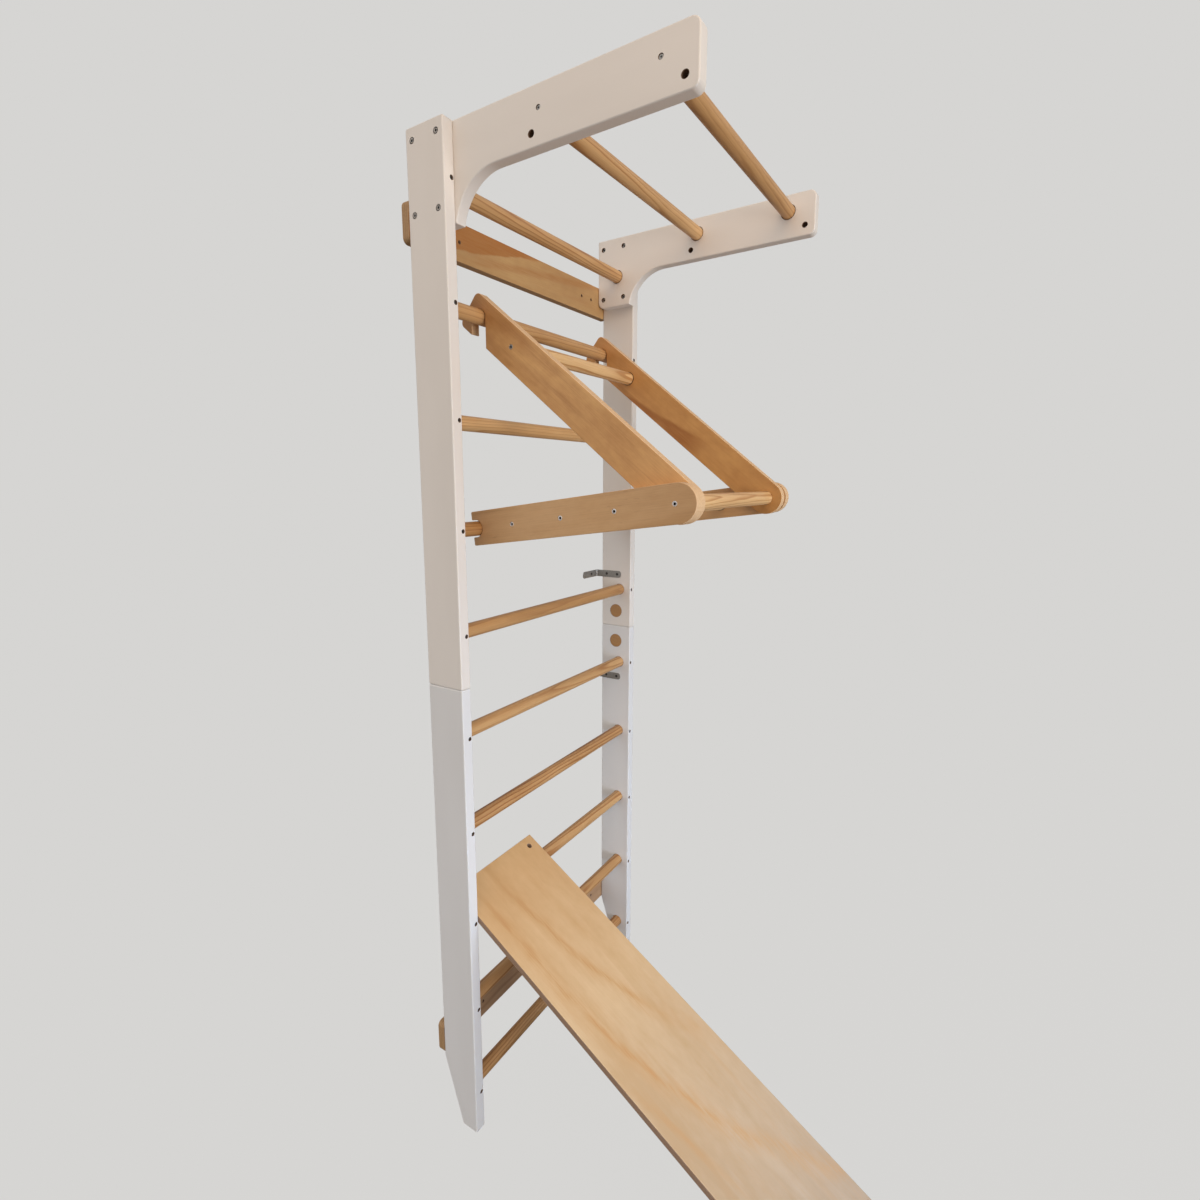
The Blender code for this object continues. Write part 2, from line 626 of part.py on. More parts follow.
def make_board(ply):
    """Board on its rung, with the cleat under it that catches the rung from behind."""
    rest = Vector((RUNG_Y, RUNG_Z[BOARD_RUNG - 1]))
    tilt = empty_at("board_tilt_axis", *rest)
    down_slope = Vector((-math.cos(BOARD_SLOPE), -math.sin(BOARD_SLOPE)))
    out = Vector((-math.sin(BOARD_SLOPE), math.cos(BOARD_SLOPE)))
    under = RUNG_RADIUS + TOUCH
    foot = (rest.y + under * math.cos(BOARD_SLOPE)) / math.sin(BOARD_SLOPE)

    def box(first, last, bottom, top):
        ends = ((first, bottom), (last, bottom), (last, top), (first, top))
        return [tuple(rest + down_slope * s + out * t) for s, t in ends]

    left_side = -INNER + BOARD_LEFT_GAP
    right_side = left_side + BOARD_WIDTH
    outline = box(-BOARD_OVERHANG, foot, under, under + BOARD_THICK)
    board = place("slide_board", slab(outline, "X", left_side, right_side), ply,
                  (0, *rest), tilt)
    middle = rest + down_slope * (BOARD_HOLE_FROM_END - BOARD_OVERHANG)
    holes = bmesh.new()
    for x in (left_side + BOARD_HOLE_FROM_SIDE, right_side - BOARD_HOLE_FROM_SIDE):
        turned([(under - CUT_MARGIN, BOARD_HOLE_RADIUS),
                (under + BOARD_THICK + CUT_MARGIN, BOARD_HOLE_RADIUS)], "Z", x, 0,
               SMALL_ROUND_STEPS, holes)
    lean = Matrix.Translation((0, *middle)) @ Matrix.Rotation(BOARD_SLOPE, 4, "X")
    bmesh.ops.transform(holes, matrix=lean, verts=holes.verts)
    cut(board, "slide_board_holes", holes)
    rear_face = -under
    outline = box(rear_face - CLEAT_WIDTH, rear_face, under - TOUCH - CLEAT_HEIGHT, under - TOUCH)
    place("board_cleat", slab(outline, "X", left_side + CLEAT_INSET, right_side - CLEAT_INSET),
          ply, (0, *rest), tilt)


def main():
    clear_scene()
    paint = material("white_paint", (0.80, 0.77, 0.72), 0.45)
    timber = material("pine_rung", (0.62, 0.37, 0.17), 0.5)
    ply = material("plywood", (0.58, 0.38, 0.20), 0.55)
    steel = material("zinc_steel", (0.42, 0.42, 0.42), 0.4, 0.9)
    for side_name in SIDES:
        for section in ("upper", "lower"):
            make_upright(side_name, section, paint)
        make_section_joint(side_name, ply, steel)
        make_arm(side_name, paint)
        make_arm_bolts(side_name, steel)
        for level in BRACKET_HEIGHTS:
            make_bracket(side_name, level, steel)
    make_ladder_rungs(timber)
    make_arm_rungs(timber)
    make_batten("top", LADDER_TOP - TOP_BATTEN_DROP - BATTEN_HEIGHT, ply)
    make_batten("bottom", BOTTOM_BATTEN_BASE, ply)
    make_triangle(ply, timber)
    make_board(ply)


main()
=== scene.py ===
# %% [markdown]
# # Wall bars with overhead arms, a folding triangle and a slide board
# The packed model gives every piece its place. This lesson loads it as a fixed frame and dresses
# it: painted uprights, pine rungs, plywood plates and small steel parts. Each piece is a surface
# worked out with numpy, so its size is exact, and each finish is made of shader nodes, so it
# needs no pictures.

# %% Load the packed model
import math

import bmesh
import bpy
import numpy as np
from mathutils import Matrix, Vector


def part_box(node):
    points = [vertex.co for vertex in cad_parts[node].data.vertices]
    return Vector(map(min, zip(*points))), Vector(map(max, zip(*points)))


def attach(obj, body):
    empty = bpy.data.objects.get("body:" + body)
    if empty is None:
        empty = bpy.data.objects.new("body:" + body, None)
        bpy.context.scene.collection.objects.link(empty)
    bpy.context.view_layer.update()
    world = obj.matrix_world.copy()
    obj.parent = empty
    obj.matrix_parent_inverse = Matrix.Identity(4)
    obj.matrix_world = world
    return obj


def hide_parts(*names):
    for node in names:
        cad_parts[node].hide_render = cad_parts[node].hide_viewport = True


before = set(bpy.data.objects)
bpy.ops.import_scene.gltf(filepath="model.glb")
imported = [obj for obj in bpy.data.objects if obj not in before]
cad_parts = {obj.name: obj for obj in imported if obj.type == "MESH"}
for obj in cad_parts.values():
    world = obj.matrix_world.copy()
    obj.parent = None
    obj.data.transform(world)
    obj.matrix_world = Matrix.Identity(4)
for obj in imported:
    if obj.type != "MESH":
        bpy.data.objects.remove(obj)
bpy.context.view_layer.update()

# %% [markdown]
# ## The camera
# A wide lens stands close to the ladder's left side, a little above its middle. The picture is a
# crop of a larger frame, so the lens is shifted slightly. A constraint could aim the camera, but
# two angles and a small roll keep its aim as plain numbers. The crossed directions that turn it
# will turn the lamps too.

# %% Camera
CAMERA_PLACE = (-1.35498, -1.04427, 1.54808)
VIEW_TURN = math.radians(-55.617)
VIEW_DROP = math.radians(9.648)
VIEW_ROLL = math.radians(-0.4)
LENS = 19.313
LENS_SHIFT = (0.0307, -0.0042)


def unit(vector):
    """A vector divided by its own length."""
    vector = np.asarray(vector, float)
    return vector / np.linalg.norm(vector)


def facing_away(back):
    """The turn that makes a camera's or lamp's back look along a direction. Its right is level
    and square to its back, and its up is square to both."""
    back = unit(back)
    right = unit(np.cross((0, 0, 1), back))
    return Matrix(np.stack([right, np.cross(back, right), back], 1).tolist()).to_4x4()


back = np.array((math.sin(VIEW_TURN) * math.cos(VIEW_DROP),
                 -math.cos(VIEW_TURN) * math.cos(VIEW_DROP), math.sin(VIEW_DROP)))
lens = bpy.data.cameras.new("studio_camera")
lens.lens = LENS
lens.shift_x, lens.shift_y = LENS_SHIFT
camera = bpy.data.objects.new("studio_camera", lens)
bpy.context.collection.objects.link(camera)
camera.matrix_world = (Matrix.Translation(CAMERA_PLACE) @ facing_away(back)
                       @ Matrix.Rotation(VIEW_ROLL, 4, "Z"))
bpy.context.scene.camera = camera
print("camera looks along", (-back).round(3))

# %% [markdown]
# ## Writing shader sums as Python
# A finish could be wired up in the shader editor, but it is easier to read as a formula than as
# boxes and lines. This small class holds one output socket: adding or multiplying it makes a Math
# node, and every other kind of node comes from its method `node`.

# %% Shader sums
class Signal:
    """One output socket of a node tree, which sums and products can be written with."""

    def __init__(self, tree, socket=None):
        self.tree = tree
        self.socket = socket

    def node(self, kind, settings, inputs, output=0):
        """A new node: its settings come first, then the values or links of its inputs."""
        made = self.tree.nodes.new("ShaderNode" + kind)
        for name, value in settings.items():
            if name != "stops":
                setattr(made, name, value)
                continue
            for _ in value[2:]:
                made.color_ramp.elements.new(0.5)
            for stop, (place, shade) in zip(made.color_ramp.elements, value):
                stop.position = place
                stop.color = (*shade, 1.0)
        for key, value in inputs.items():
            if isinstance(value, Signal):
                self.tree.links.new(value.socket, made.inputs[key])
            else:
                made.inputs[key].default_value = value
        return Signal(self.tree, made.outputs[output] if made.outputs else None)

    def math(self, operation, first, second=0.0):
        """A sum on two values, or a function that takes only the first."""
        return self.node("Math", {"operation": operation}, {0: first, 1: second})

    def through(self, function):
        """This value put through a function such as SQRT, SINE or FRACT."""
        return self.math(function, self)

    def __add__(self, other):
        return self.math("ADD", self, other)

    def __sub__(self, other):
        return self.math("SUBTRACT", self, other)

    def __rsub__(self, other):
        return self.math("SUBTRACT", other, self)

    def __mul__(self, other):
        return self.math("MULTIPLY", self, other)

    __radd__ = __add__
    __rmul__ = __mul__

    def part(self, axis):
        """One number of this point: X, Y or Z."""
        return self.node("SeparateXYZ", {}, {0: self}, axis)

    def stretched(self, *scale):
        """The same point with each axis multiplied, which draws a pattern out along one."""
        return self.node("VectorMath", {"operation": "MULTIPLY"}, {0: self, 1: scale})

    def noise(self, detail=2.0, twist=0.0):
        """Soft random values about a half, read at this point."""
        return self.node("TexNoise", {}, {"Vector": self, "Scale": 1.0, "Detail": detail,
                                          "Distortion": twist})

    def between(self, low, high, start=0.0, end=1.0, curve="LINEAR"):
        """This value taken from one range to another, and held at its ends."""
        return self.node("MapRange", {"interpolation_type": curve},
                         {"Value": self, "From Min": low, "From Max": high,
                          "To Min": start, "To Max": end})

    def mixed(self, first, second):
        """A colour between two others, by this value."""
        return self.node("Mix", {"data_type": "RGBA"}, {0: self, 6: first, 7: second}, 2)

    def times(self, other):
        """This colour multiplied by another."""
        return self.node("Mix", {"data_type": "RGBA", "blend_type": "MULTIPLY"},
                         {0: 1.0, 6: self, 7: other}, 2)

    def ramp(self, *stops):
        """A colour from this value, between the colours at each stop."""
        return self.node("ValToRGB", {"stops": stops}, {0: self})

    def levels(self, *stops):
        """A number from this value, between the levels at each stop."""
        shades = self.ramp(*((place, (level,) * 3) for place, level in stops))
        return self.node("RGBToBW", {}, {0: shades})


print("a signal can be", [name for name in vars(Signal) if not name.startswith("_")])

# %% [markdown]
# ## Floor, backdrop and light
# The object stands alone on a pale grey ground with no horizon. A curved backdrop would do, but
# light falls off along it. Here a Light Path node shows the camera one grey on the floor and in
# the world, while the object is lit by a room that is bright to the ladder's left and weaker to
# its right and overhead. A wide panel lights the front, a warm one the top, and a cool one near
# the floor gives the lower uprights their faint blue.

# %% Greys of the ground and the room
GROUND = (0.672, 0.665, 0.651, 1.0)
FLOOR_HALF = 60.0
FLOOR_DROP = 0.0005
FLOOR_GLOW = 0.987                          # share of the grey that takes no shadows
FLOOR_SHADE = (0.014, 0.014, 0.0135, 1.0)   # colour of the rest, which does
FLOOR_BOUNCE = (0.30, 0.25, 0.21, 1.0)      # colour that it throws back on the object
ROOM_SIDES = ((0.0, (0.86, 0.87, 0.88)), (0.5, (0.0, 0.0, 0.0)), (1.0, (0.30, 0.30, 0.30)))
ROOM_TOP = (0.32, 0.32, 0.32, 1.0)
ROOM_WIDTH, ROOM_HEIGHT = 0.7, 0.9          # where sides and top reach their full light
print("ground", GROUND[:3], "and", round(1 - FLOOR_GLOW, 3), "of it takes shadows")

# %% The room
world = bpy.data.worlds.new("studio")
world.use_nodes = True
world.node_tree.nodes.clear()
bpy.context.scene.world = world
start = Signal(world.node_tree)
way = start.node("TexCoord", {}, {}, "Generated")
rightward = way.part("X").between(-ROOM_WIDTH, ROOM_WIDTH)
upward = way.part("Z").between(0.0, ROOM_HEIGHT)
room = start.node("Mix", {"data_type": "RGBA", "blend_type": "ADD"},
                  {0: upward, 6: rightward.ramp(*ROOM_SIDES), 7: ROOM_TOP}, 2)
seen = start.node("LightPath", {}, {}, "Is Camera Ray")
sky = start.node("Background", {}, {"Color": seen.mixed(room, GROUND)})
start.node("OutputWorld", {}, {"Surface": sky})
print("world", world.name, "made of", len(world.node_tree.nodes), "nodes")

# %% The floor
floor_finish = bpy.data.materials.new("pale_floor")
floor_finish.use_nodes = True
floor_finish.node_tree.nodes.clear()
start = Signal(floor_finish.node_tree)
seen = start.node("LightPath", {}, {}, "Is Camera Ray")
glow = start.node("Emission", {}, {"Color": GROUND, "Strength": FLOOR_GLOW})
shade = start.node("BsdfDiffuse", {}, {"Color": FLOOR_SHADE})
lit = start.node("AddShader", {}, {0: glow, 1: shade})
bounce = start.node("BsdfDiffuse", {}, {"Color": FLOOR_BOUNCE})
whole = start.node("MixShader", {}, {0: seen, 1: bounce, 2: lit})
start.node("OutputMaterial", {}, {"Surface": whole})
sides = FLOOR_HALF * np.array([(-1, -1), (1, -1), (1, 1), (-1, 1)])
floor_mesh = bpy.data.meshes.new("floor")
floor_mesh.from_pydata([(x, y, -FLOOR_DROP) for x, y in sides.tolist()], [], [(0, 1, 2, 3)])
floor_mesh.materials.append(floor_finish)
floor = bpy.data.objects.new("floor", floor_mesh)
bpy.context.collection.objects.link(floor)
print("floor", 2 * FLOOR_HALF, "metres wide")

# %% Light panels
PANELS = {   # place, the point it looks at, width, height, watts, colour, spread in degrees
    "front_panel": ((-0.6, -4.6, 1.2), (0.0, -0.2, 1.2), 2.5, 1.6, 96.0, (1.0, 0.98, 0.95), 180),
    "top_panel": ((-1.6, -1.4, 4.0), (0.0, -0.2, 1.9), 2.4, 2.4, 17.0, (1.0, 0.52, 0.14), 180),
    "foot_panel": ((-0.4, -2.8, 0.35), (0.0, -0.1, 0.4), 2.4, 0.6, 9.5, (0.38, 0.62, 1.0), 100),
}

for name, (place, target, width, tall, watts, colour, spread) in PANELS.items():
    panel = bpy.data.lights.new(name, "AREA")
    panel.shape = "RECTANGLE"
    panel.size = width
    panel.size_y = tall
    panel.energy = watts
    panel.color = colour
    panel.spread = math.radians(spread)
    stand = bpy.data.objects.new(name, panel)
    bpy.context.collection.objects.link(stand)
    stand.matrix_world = Matrix.Translation(place) @ facing_away(np.subtract(place, target))
bpy.context.scene.view_settings.view_transform = "Standard"
print("lights", list(PANELS))

# %% [markdown]
# ## Mesh helpers
# Nearly everything here is either a board with softened edges or something round. Cubes and
# cylinders with Bevel modifiers would be close, but both are one kind of surface, and a profile
# gives their exact sizes: closed rings of points, one after another, with four-sided faces
# between them and a flat face over each end. The rings come out of whole-array sums.

# %% Rings into a mesh
def skin(rings):
    """Points and faces of a closed surface over rings, an array (rings, points round, 3).
    Point j of ring i is number i * round + j, and each face joins it to its three neighbours."""
    count, steps, _ = rings.shape
    first = np.arange(count - 1)[:, None] * steps + np.arange(steps)
    second = np.arange(count - 1)[:, None] * steps + (np.arange(steps) + 1) % steps
    quads = np.stack([first, second, second + steps, first + steps], -1).reshape(-1, 4)
    ends = [list(range(steps))[::-1], list(range((count - 1) * steps, count * steps))]
    return rings.reshape(-1, 3), quads.tolist() + ends


def joined(parts):
    """Several (points, faces) as one, with the faces' numbers moved along."""
    points, faces, shift = [], [], 0
    for some_points, some_faces in parts:
        points.append(some_points)
        faces += [[number + shift for number in face] for face in some_faces]
        shift += len(some_points)
    return np.concatenate(points), faces


def piece(name, parts, *finishes):
    """An object from (points, faces) parts, with every face turned outwards."""
    points, faces = joined(parts)
    mesh = bpy.data.meshes.new(name)
    mesh.from_pydata(points.tolist(), [], faces)
    shell = bmesh.new()
    shell.from_mesh(mesh)
    bmesh.ops.recalc_face_normals(shell, faces=shell.faces)
    shell.to_mesh(mesh)
    shell.free()
    for finish in finishes:
        mesh.materials.append(finish)
    made = bpy.data.objects.new(name, mesh)
    bpy.context.collection.objects.link(made)
    return made


print("three rings of four points have", len(skin(np.zeros((3, 4, 3)))[1]), "faces")


# %% Round things
def ring_of(steps):
    """Angles of a ring's points, a half step off the axes."""
    return (np.arange(steps) + 0.5) * 2 * math.pi / steps


def lathe(rows, place, axis=(1, 0, 0), steps=48):
    """A round body about an axis: each row is (distance along it, radius) or has the shape of
    its ring as a third entry. A point is place + axis * distance + radius * shape(angle) * the
    direction at that angle."""
    axis = unit(axis)
    slanted = (0, 0, 1) if abs(axis[2]) < 0.9 else (1, 0, 0)    # any direction off the axis
    side = unit(np.cross(axis, slanted))
    angle = ring_of(steps)
    spokes = np.cos(angle)[:, None] * side + np.sin(angle)[:, None] * np.cross(axis, side)
    rings = [np.asarray(place) + axis * row[0]
             + spokes * (row[1] * (row[2] if len(row) > 2 else np.ones_like)(angle))[:, None]
             for row in rows]
    return skin(np.stack(rings))


print("a plain disc has", len(lathe([(0.0, 1.0), (1.0, 1.0)], (0, 0, 0))[0]), "points")


# %% Outlines with rounded corners
def rounded(corners, steps=8):
    """A closed outline through corners (u, v, radius), each an arc that touches both its sides.
    The arc's centre is on the corner's bisector, radius / sin(half its angle) away from it."""
    spots = np.array([corner[:2] for corner in corners], float)
    outline = []
    for corner, here, before, after in zip(corners, spots, np.roll(spots, 1, 0),
                                           np.roll(spots, -1, 0)):
        radius = corner[2]
        if radius == 0:
            outline.append(here[None])
            continue
        behind, ahead = unit(before - here), unit(after - here)
        half = math.acos(behind @ ahead) / 2
        centre = here + unit(behind + ahead) * radius / math.sin(half)
        first = here + behind * radius / math.tan(half) - centre
        last = here + ahead * radius / math.tan(half) - centre
        begin = math.atan2(first[1], first[0])
        sweep = (math.atan2(last[1], last[0]) - begin + math.pi) % (2 * math.pi) - math.pi
        turn = begin + sweep * np.linspace(0, 1, steps + 1)
        outline.append(centre + radius * np.stack([np.cos(turn), np.sin(turn)], 1))
    return np.concatenate(outline)


def four_corners(first, last, radius):
    """Corners of a rectangle from its lowest (u, v) to its highest, all of one radius."""
    return [(first[0], first[1], radius), (last[0], first[1], radius),
            (last[0], last[1], radius), (first[0], last[1], radius)]


def arc(centre, radius, first, last, steps):
    """Corners of no radius along an arc, from one angle to another in degrees."""
    turn = np.radians(np.linspace(first, last, steps + 1))
    return [(centre[0] + radius * x, centre[1] + radius * y, 0)
            for x, y in zip(np.cos(turn), np.sin(turn))]


SQUARE = rounded(four_corners((0, 0), (1, 1), 0.1))
print("a rounded square has", len(SQUARE), "points")


# %% Boards with softened edges
def plank(outline, axes, low, high, edge, place=(0, 0, 0), steps=4):
    """An outline (u, v) carried through a thickness along the third of three axes.
    Towards each face the ring draws in round a quarter circle: at angle t it lies
    edge * (1 - cos t) deep and edge * (1 - sin t) inwards. A point moves in along the sum of its
    two edges' normals, times 2 / the square of that sum's length."""
    ahead = np.roll(outline, -1, 0) - outline
    if np.sum(outline[:, 0] * np.roll(outline[:, 1], -1)
              - outline[:, 1] * np.roll(outline[:, 0], -1)) < 0:
        outline = outline[::-1]
        ahead = np.roll(outline, -1, 0) - outline
    ahead /= np.linalg.norm(ahead, axis=1)[:, None]
    inward = np.stack([-ahead[:, 1], ahead[:, 0]], 1)
    inward = inward + np.roll(inward, 1, 0)
    inward *= 2 / np.sum(inward ** 2, 1)[:, None]
    turn = np.linspace(0, math.pi / 2, steps + 1)
    drawn_in = edge * (1 - np.sin(turn))
    deep = edge * (1 - np.cos(turn))
    insets = np.concatenate([drawn_in, drawn_in[::-1]])
    depths = np.concatenate([low + deep, high - deep[::-1]])
    flat = outline + insets[:, None, None] * inward
    axes = np.asarray(axes, float)
    rings = (np.asarray(place) + flat[..., :1] * axes[0] + flat[..., 1:] * axes[1]
             + depths[:, None, None] * axes[2])
    return skin(rings)


print("the square as a board has", len(plank(SQUARE, np.eye(3), 0.0, 0.1, 0.01)[0]), "points")

# %% [markdown]
# ## Holes, shading and the grain's own place
# Drilled holes could be built into a mesh by hand, but a Boolean whose tool is a set of round
# bodies is shorter, and lets their walls have a finish of their own. Afterwards each point of a
# wooden piece is given its place along the grain, across it and through it. Plain coordinates
# would run the grain the same way through every board, while these suit boards at any slant.

# %% Drilled holes
CLEAR = 0.002                   # how far a cutter stands out of the face that it enters
HEAD_SINK = (0.0015, 0.0042)    # depth and radius of a countersunk mouth


def cut(made, parts, wall=1):
    """Take the shape of some parts out of an object; the new walls get its finish of a number."""
    tool = piece("tool", parts)
    tool.data.polygons.foreach_set("material_index", np.full(len(tool.data.polygons), wall))
    step = made.modifiers.new("holes", "BOOLEAN")
    step.operation = "DIFFERENCE"
    step.solver = "EXACT"
    step.object = tool
    graph = bpy.context.evaluated_depsgraph_get()
    done = bpy.data.meshes.new_from_object(made.evaluated_get(graph))
    made.modifiers.clear()
    spent = made.data
    made.data = done
    done.name = made.name
    bpy.data.meshes.remove(spent)
    bpy.data.objects.remove(tool, do_unlink=True)


def into(place, outwards, depth, radius, flare=0.0005):
    """A round cutter from a face inwards: outwards is the face's own direction."""
    rows = [(-depth, radius), (-flare, radius), (0.0, radius + flare), (CLEAR, radius + flare)]
    return lathe(rows, place, outwards, 32)


def countersunk(place, outwards, depth, radius):
    """A cutter whose mouth widens evenly, as for a flat screw head."""
    sink, mouth = HEAD_SINK
    rows = [(-depth, radius), (-sink, radius), (0.0, mouth), (CLEAR, mouth)]
    return lathe(rows, place, outwards, 24)


print("countersunk mouths are", round(2000 * HEAD_SINK[1], 1), "mm across")

# %% Grain places and finishing touches
SHARP_TURN = math.radians(35)
EDGE_LEAN = 0.7                 # an edge's normal has less than this along the thickness
GRAIN_PLACE = "grain_place"     # name of the stored place that the wooden finishes read


def corner_points(made):
    """An object's points as an array."""
    points = np.empty(len(made.data.vertices) * 3)
    made.data.vertices.foreach_get("co", points)
    return points.reshape(-1, 3)


def grain_places(made, places):
    """Store each point's place (along, across, through) with the mesh."""
    stored = made.data.attributes.new(GRAIN_PLACE, "FLOAT_VECTOR", "POINT")
    stored.data.foreach_set("vector", np.asarray(places, np.float32).ravel())


def grained(made, along, across, shift):
    """Grain places of a flat board: its points turned to the board's own directions."""
    turned = np.stack([unit(along), unit(across), np.cross(unit(along), unit(across))])
    grain_places(made, corner_points(made) @ turned.T + np.asarray(shift))


def edges_by_normal(made, through):
    """Second finish wherever a face doesn't look along the board's thickness."""
    polygons = made.data.polygons
    normals = np.empty(len(polygons) * 3)
    polygons.foreach_get("normal", normals)
    is_edge = np.abs(normals.reshape(-1, 3) @ unit(through)) < EDGE_LEAN
    polygons.foreach_set("material_index", is_edge.astype(int))


def settled(made, body, slot, *nodes):
    """Shade a piece smooth between its sharp edges, hang it on its body, and hide the packed
    pieces that it stands for.
    """
    made.data.shade_smooth()
    made.data.set_sharp_from_angle(angle=SHARP_TURN)
    weighted = made.modifiers.new("flat_faces", "WEIGHTED_NORMAL")
    weighted.keep_sharp = True
    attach(made, body)
    if nodes:
        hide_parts(*nodes)
    return made


def centre_of(node):
    """The middle of a packed piece's box."""
    low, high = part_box(node)
    return np.array((low + high) / 2)


print("edges that turn more than", round(math.degrees(SHARP_TURN)), "degrees stay sharp")

# %% [markdown]
# ## White paint
# The uprights and arms are painted pine: nearly smooth, with the wood's grain just showing as
# long shallow ripples. The lower sections are a cooler white than the rest. One flat colour would
# look like plastic, so slow noise changes the shade a little, and noise drawn out along the grain
# changes the gloss and the surface. Inside the drilled holes the timber is bare, and its dark
# colour is partly painted shade.

# %% Helpers for every finish
def new_finish(name, source="attribute"):
    """A material, its Principled shader, and the point that its patterns start from."""
    made = bpy.data.materials.new(name)
    made.use_nodes = True
    start = Signal(made.node_tree)
    if source == "attribute":
        point = start.node("Attribute", {"attribute_name": GRAIN_PLACE}, {}, "Vector")
    else:
        point = start.node("TexCoord", {}, {}, "Object")
    return made, made.node_tree.nodes["Principled BSDF"], point


def feed(shader, **links):
    """Link signals to the shader's sockets, named with underscores for spaces."""
    for name, signal in links.items():
        signal.tree.links.new(signal.socket, shader.inputs[name.replace("_", " ")])


def raised(signal, strength, distance):
    """A normal that follows a value as if it were a height."""
    return signal.node("Bump", {}, {"Strength": strength, "Distance": distance,
                                    "Height": signal})


print("patterns start from", GRAIN_PLACE, "or from the object's own place")


# %% Painted timber
def painted_timber(name, dull, clean):
    """Paint between two shades, with brushed ripples along the grain and fine pores."""
    made, shader, point = new_finish(name)
    cloud = point.stretched(2.0, 6.0, 6.0).noise(3.0)
    brushed = point.stretched(5.0, 260.0, 260.0).noise(2.0)
    pores = point.stretched(900.0, 900.0, 900.0).noise(1.0)
    feed(shader,
         Base_Color=cloud.between(0.3, 0.7).mixed(dull, clean),
         Roughness=brushed.between(0.3, 0.7, 0.42, 0.55),
         Normal=raised(brushed * 0.8 + pores * 0.2, 0.10, 0.0006))
    return made


# bare timber colours, darkened as painted shade for the inside of a hole
HOLE_WOOD_AND_SHADE = ((0.10, 0.055, 0.03, 1), (0.22, 0.13, 0.075, 1))
HOLE_ROUGHNESS = 0.8


def bare_hole_with_shade():
    """Raw timber inside a hole, with specks, darkened as painted shade."""
    made, shader, point = new_finish("bare_hole_with_shade")
    speck = point.stretched(500.0, 500.0, 500.0).noise(2.0)
    feed(shader, Base_Color=speck.between(0.3, 0.7).mixed(*HOLE_WOOD_AND_SHADE))
    shader.inputs["Roughness"].default_value = HOLE_ROUGHNESS
    return made


paint = painted_timber("white_paint", (0.770, 0.714, 0.650, 1), (0.825, 0.769, 0.704, 1))
lower_paint = painted_timber("cool_white_paint", (0.732, 0.716, 0.696, 1),
                             (0.785, 0.772, 0.754, 1))
shaded_hole_wall = bare_hole_with_shade()
print("finishes", paint.name, lower_paint.name, shaded_hole_wall.name)

# %% [markdown]
# ## Pine for the rungs
# A rung is turned from a pine square, so its growth rings show as long lines that run out along
# it. A Wave texture could draw stripes, but they would be alike on every side. So each rung has a
# place in an imaginary log, and a ring is a step of the distance from the log's heart, bent by
# slow noise. Late wood is narrow and dark, early wood wide and pale. Each rung also carries its
# own paleness and the boldness of its lines.

# %% Pine
RING_WIDTH = 0.0072
RING_WANDER = 0.016         # how far slow noise moves a ring
HEART_LEAN = 0.016          # how far a ring drifts in a metre along the rung
EARLY_WOOD = ((0.39, 0.165, 0.038, 1), (0.87, 0.58, 0.280, 1))      # dark rung, pale rung
LATE_WOOD = ((0.22, 0.072, 0.014, 1), (0.55, 0.268, 0.090, 1))
RUNG_LOOK = "rung_look"     # name of each rung's own paleness and boldness


def pine():
    """Growth lines: the fraction of (distance from the heart + wander + lean) / ring's width."""
    made, shader, point = new_finish("pine_grain")
    square = point.part("Y") * point.part("Y") + point.part("Z") * point.part("Z")
    bend = point.stretched(3.0, 30.0, 30.0).noise(2.0) - 0.5
    away = square.through("SQRT") + bend * RING_WANDER + point.part("X") * HEART_LEAN
    late = (away * (1 / RING_WIDTH)).through("FRACT").levels(
        (0.0, 0.10), (0.55, 0.25), (0.86, 1.0), (0.97, 0.10))
    fibre = point.stretched(14.0, 1300.0, 1300.0).noise(3.0)
    look = point.node("Attribute", {"attribute_name": RUNG_LOOK}, {}, "Vector")
    tone = point.stretched(4.0, 25.0, 25.0).noise(2.0) * 0.5 + look.part("X") - 0.25
    pale = tone.between(-0.2, 1.2)
    early_wood, late_wood = pale.mixed(*EARLY_WOOD), pale.mixed(*LATE_WOOD)
    bold = point.stretched(1.1, 4.0, 4.0).noise(1.0).between(0.35, 0.65, 0.55, 1.15)
    grain = late * (bold * look.part("Y"))
    whole = (grain + fibre.between(0.35, 0.65, -0.14, 0.20)).between(0.0, 1.0)
    feed(shader,
         Base_Color=whole.mixed(early_wood, late_wood),
         Roughness=fibre.between(0.3, 0.7, 0.38, 0.52),
         Normal=raised(fibre * 0.6 - grain * 0.4, 0.12, 0.0005))
    return made


pine_grain = pine()
print("finish", pine_grain.name)

# %% [markdown]
# ## Plywood
# The plates, battens and board are lacquered plywood. Its face is a thin sheet peeled from a log,
# so the figure is broad wavy streaks with fine fibres along them. Noise drawn out along the grain
# gives most of it. The few boldest streaks are what a board is known by, so each of them is drawn
# as a soft curve. The edge shows the layers, light and dark in turn.

# %% Streaks that are drawn one by one
STREAK_FADES = (-0.04, 0.02, 0.14)      # start and end of fading in, length of fading out


def drawn_streak(point, across, slope, bend, half, soft, first, last, strength, wander, broken):
    """Darkness of one streak of the figure. Its middle runs at across + slope * t + bend * t^3,
    where t is the place along the grain, and it fades in at first and out after last. It wavers
    by up to wander, and its darkness is patchy by the amount broken."""
    along = point.part("X")
    wave = point.stretched(8.0, 6.0, 0.0).noise(4.0) - 0.5
    off = (point.part("Y") - across - along * slope - along * along * along * bend
           + wave * wander)
    body = off.through("ABSOLUTE").between(half, half * soft, 0.0, 1.0, "SMOOTHSTEP")
    before, after, beyond = STREAK_FADES
    reach = along.between(first + before, first + after) * along.between(last + beyond, last)
    patch = point.stretched(13.0, 45.0, 0.0).noise(4.0).between(0.36, 0.58, 1.0 - broken, 1.0)
    feather = point.stretched(22.0, 330.0, 0.0).noise(3.0).between(0.34, 0.62, 1.0 - broken, 1.0)
    return body * reach * patch * feather * strength


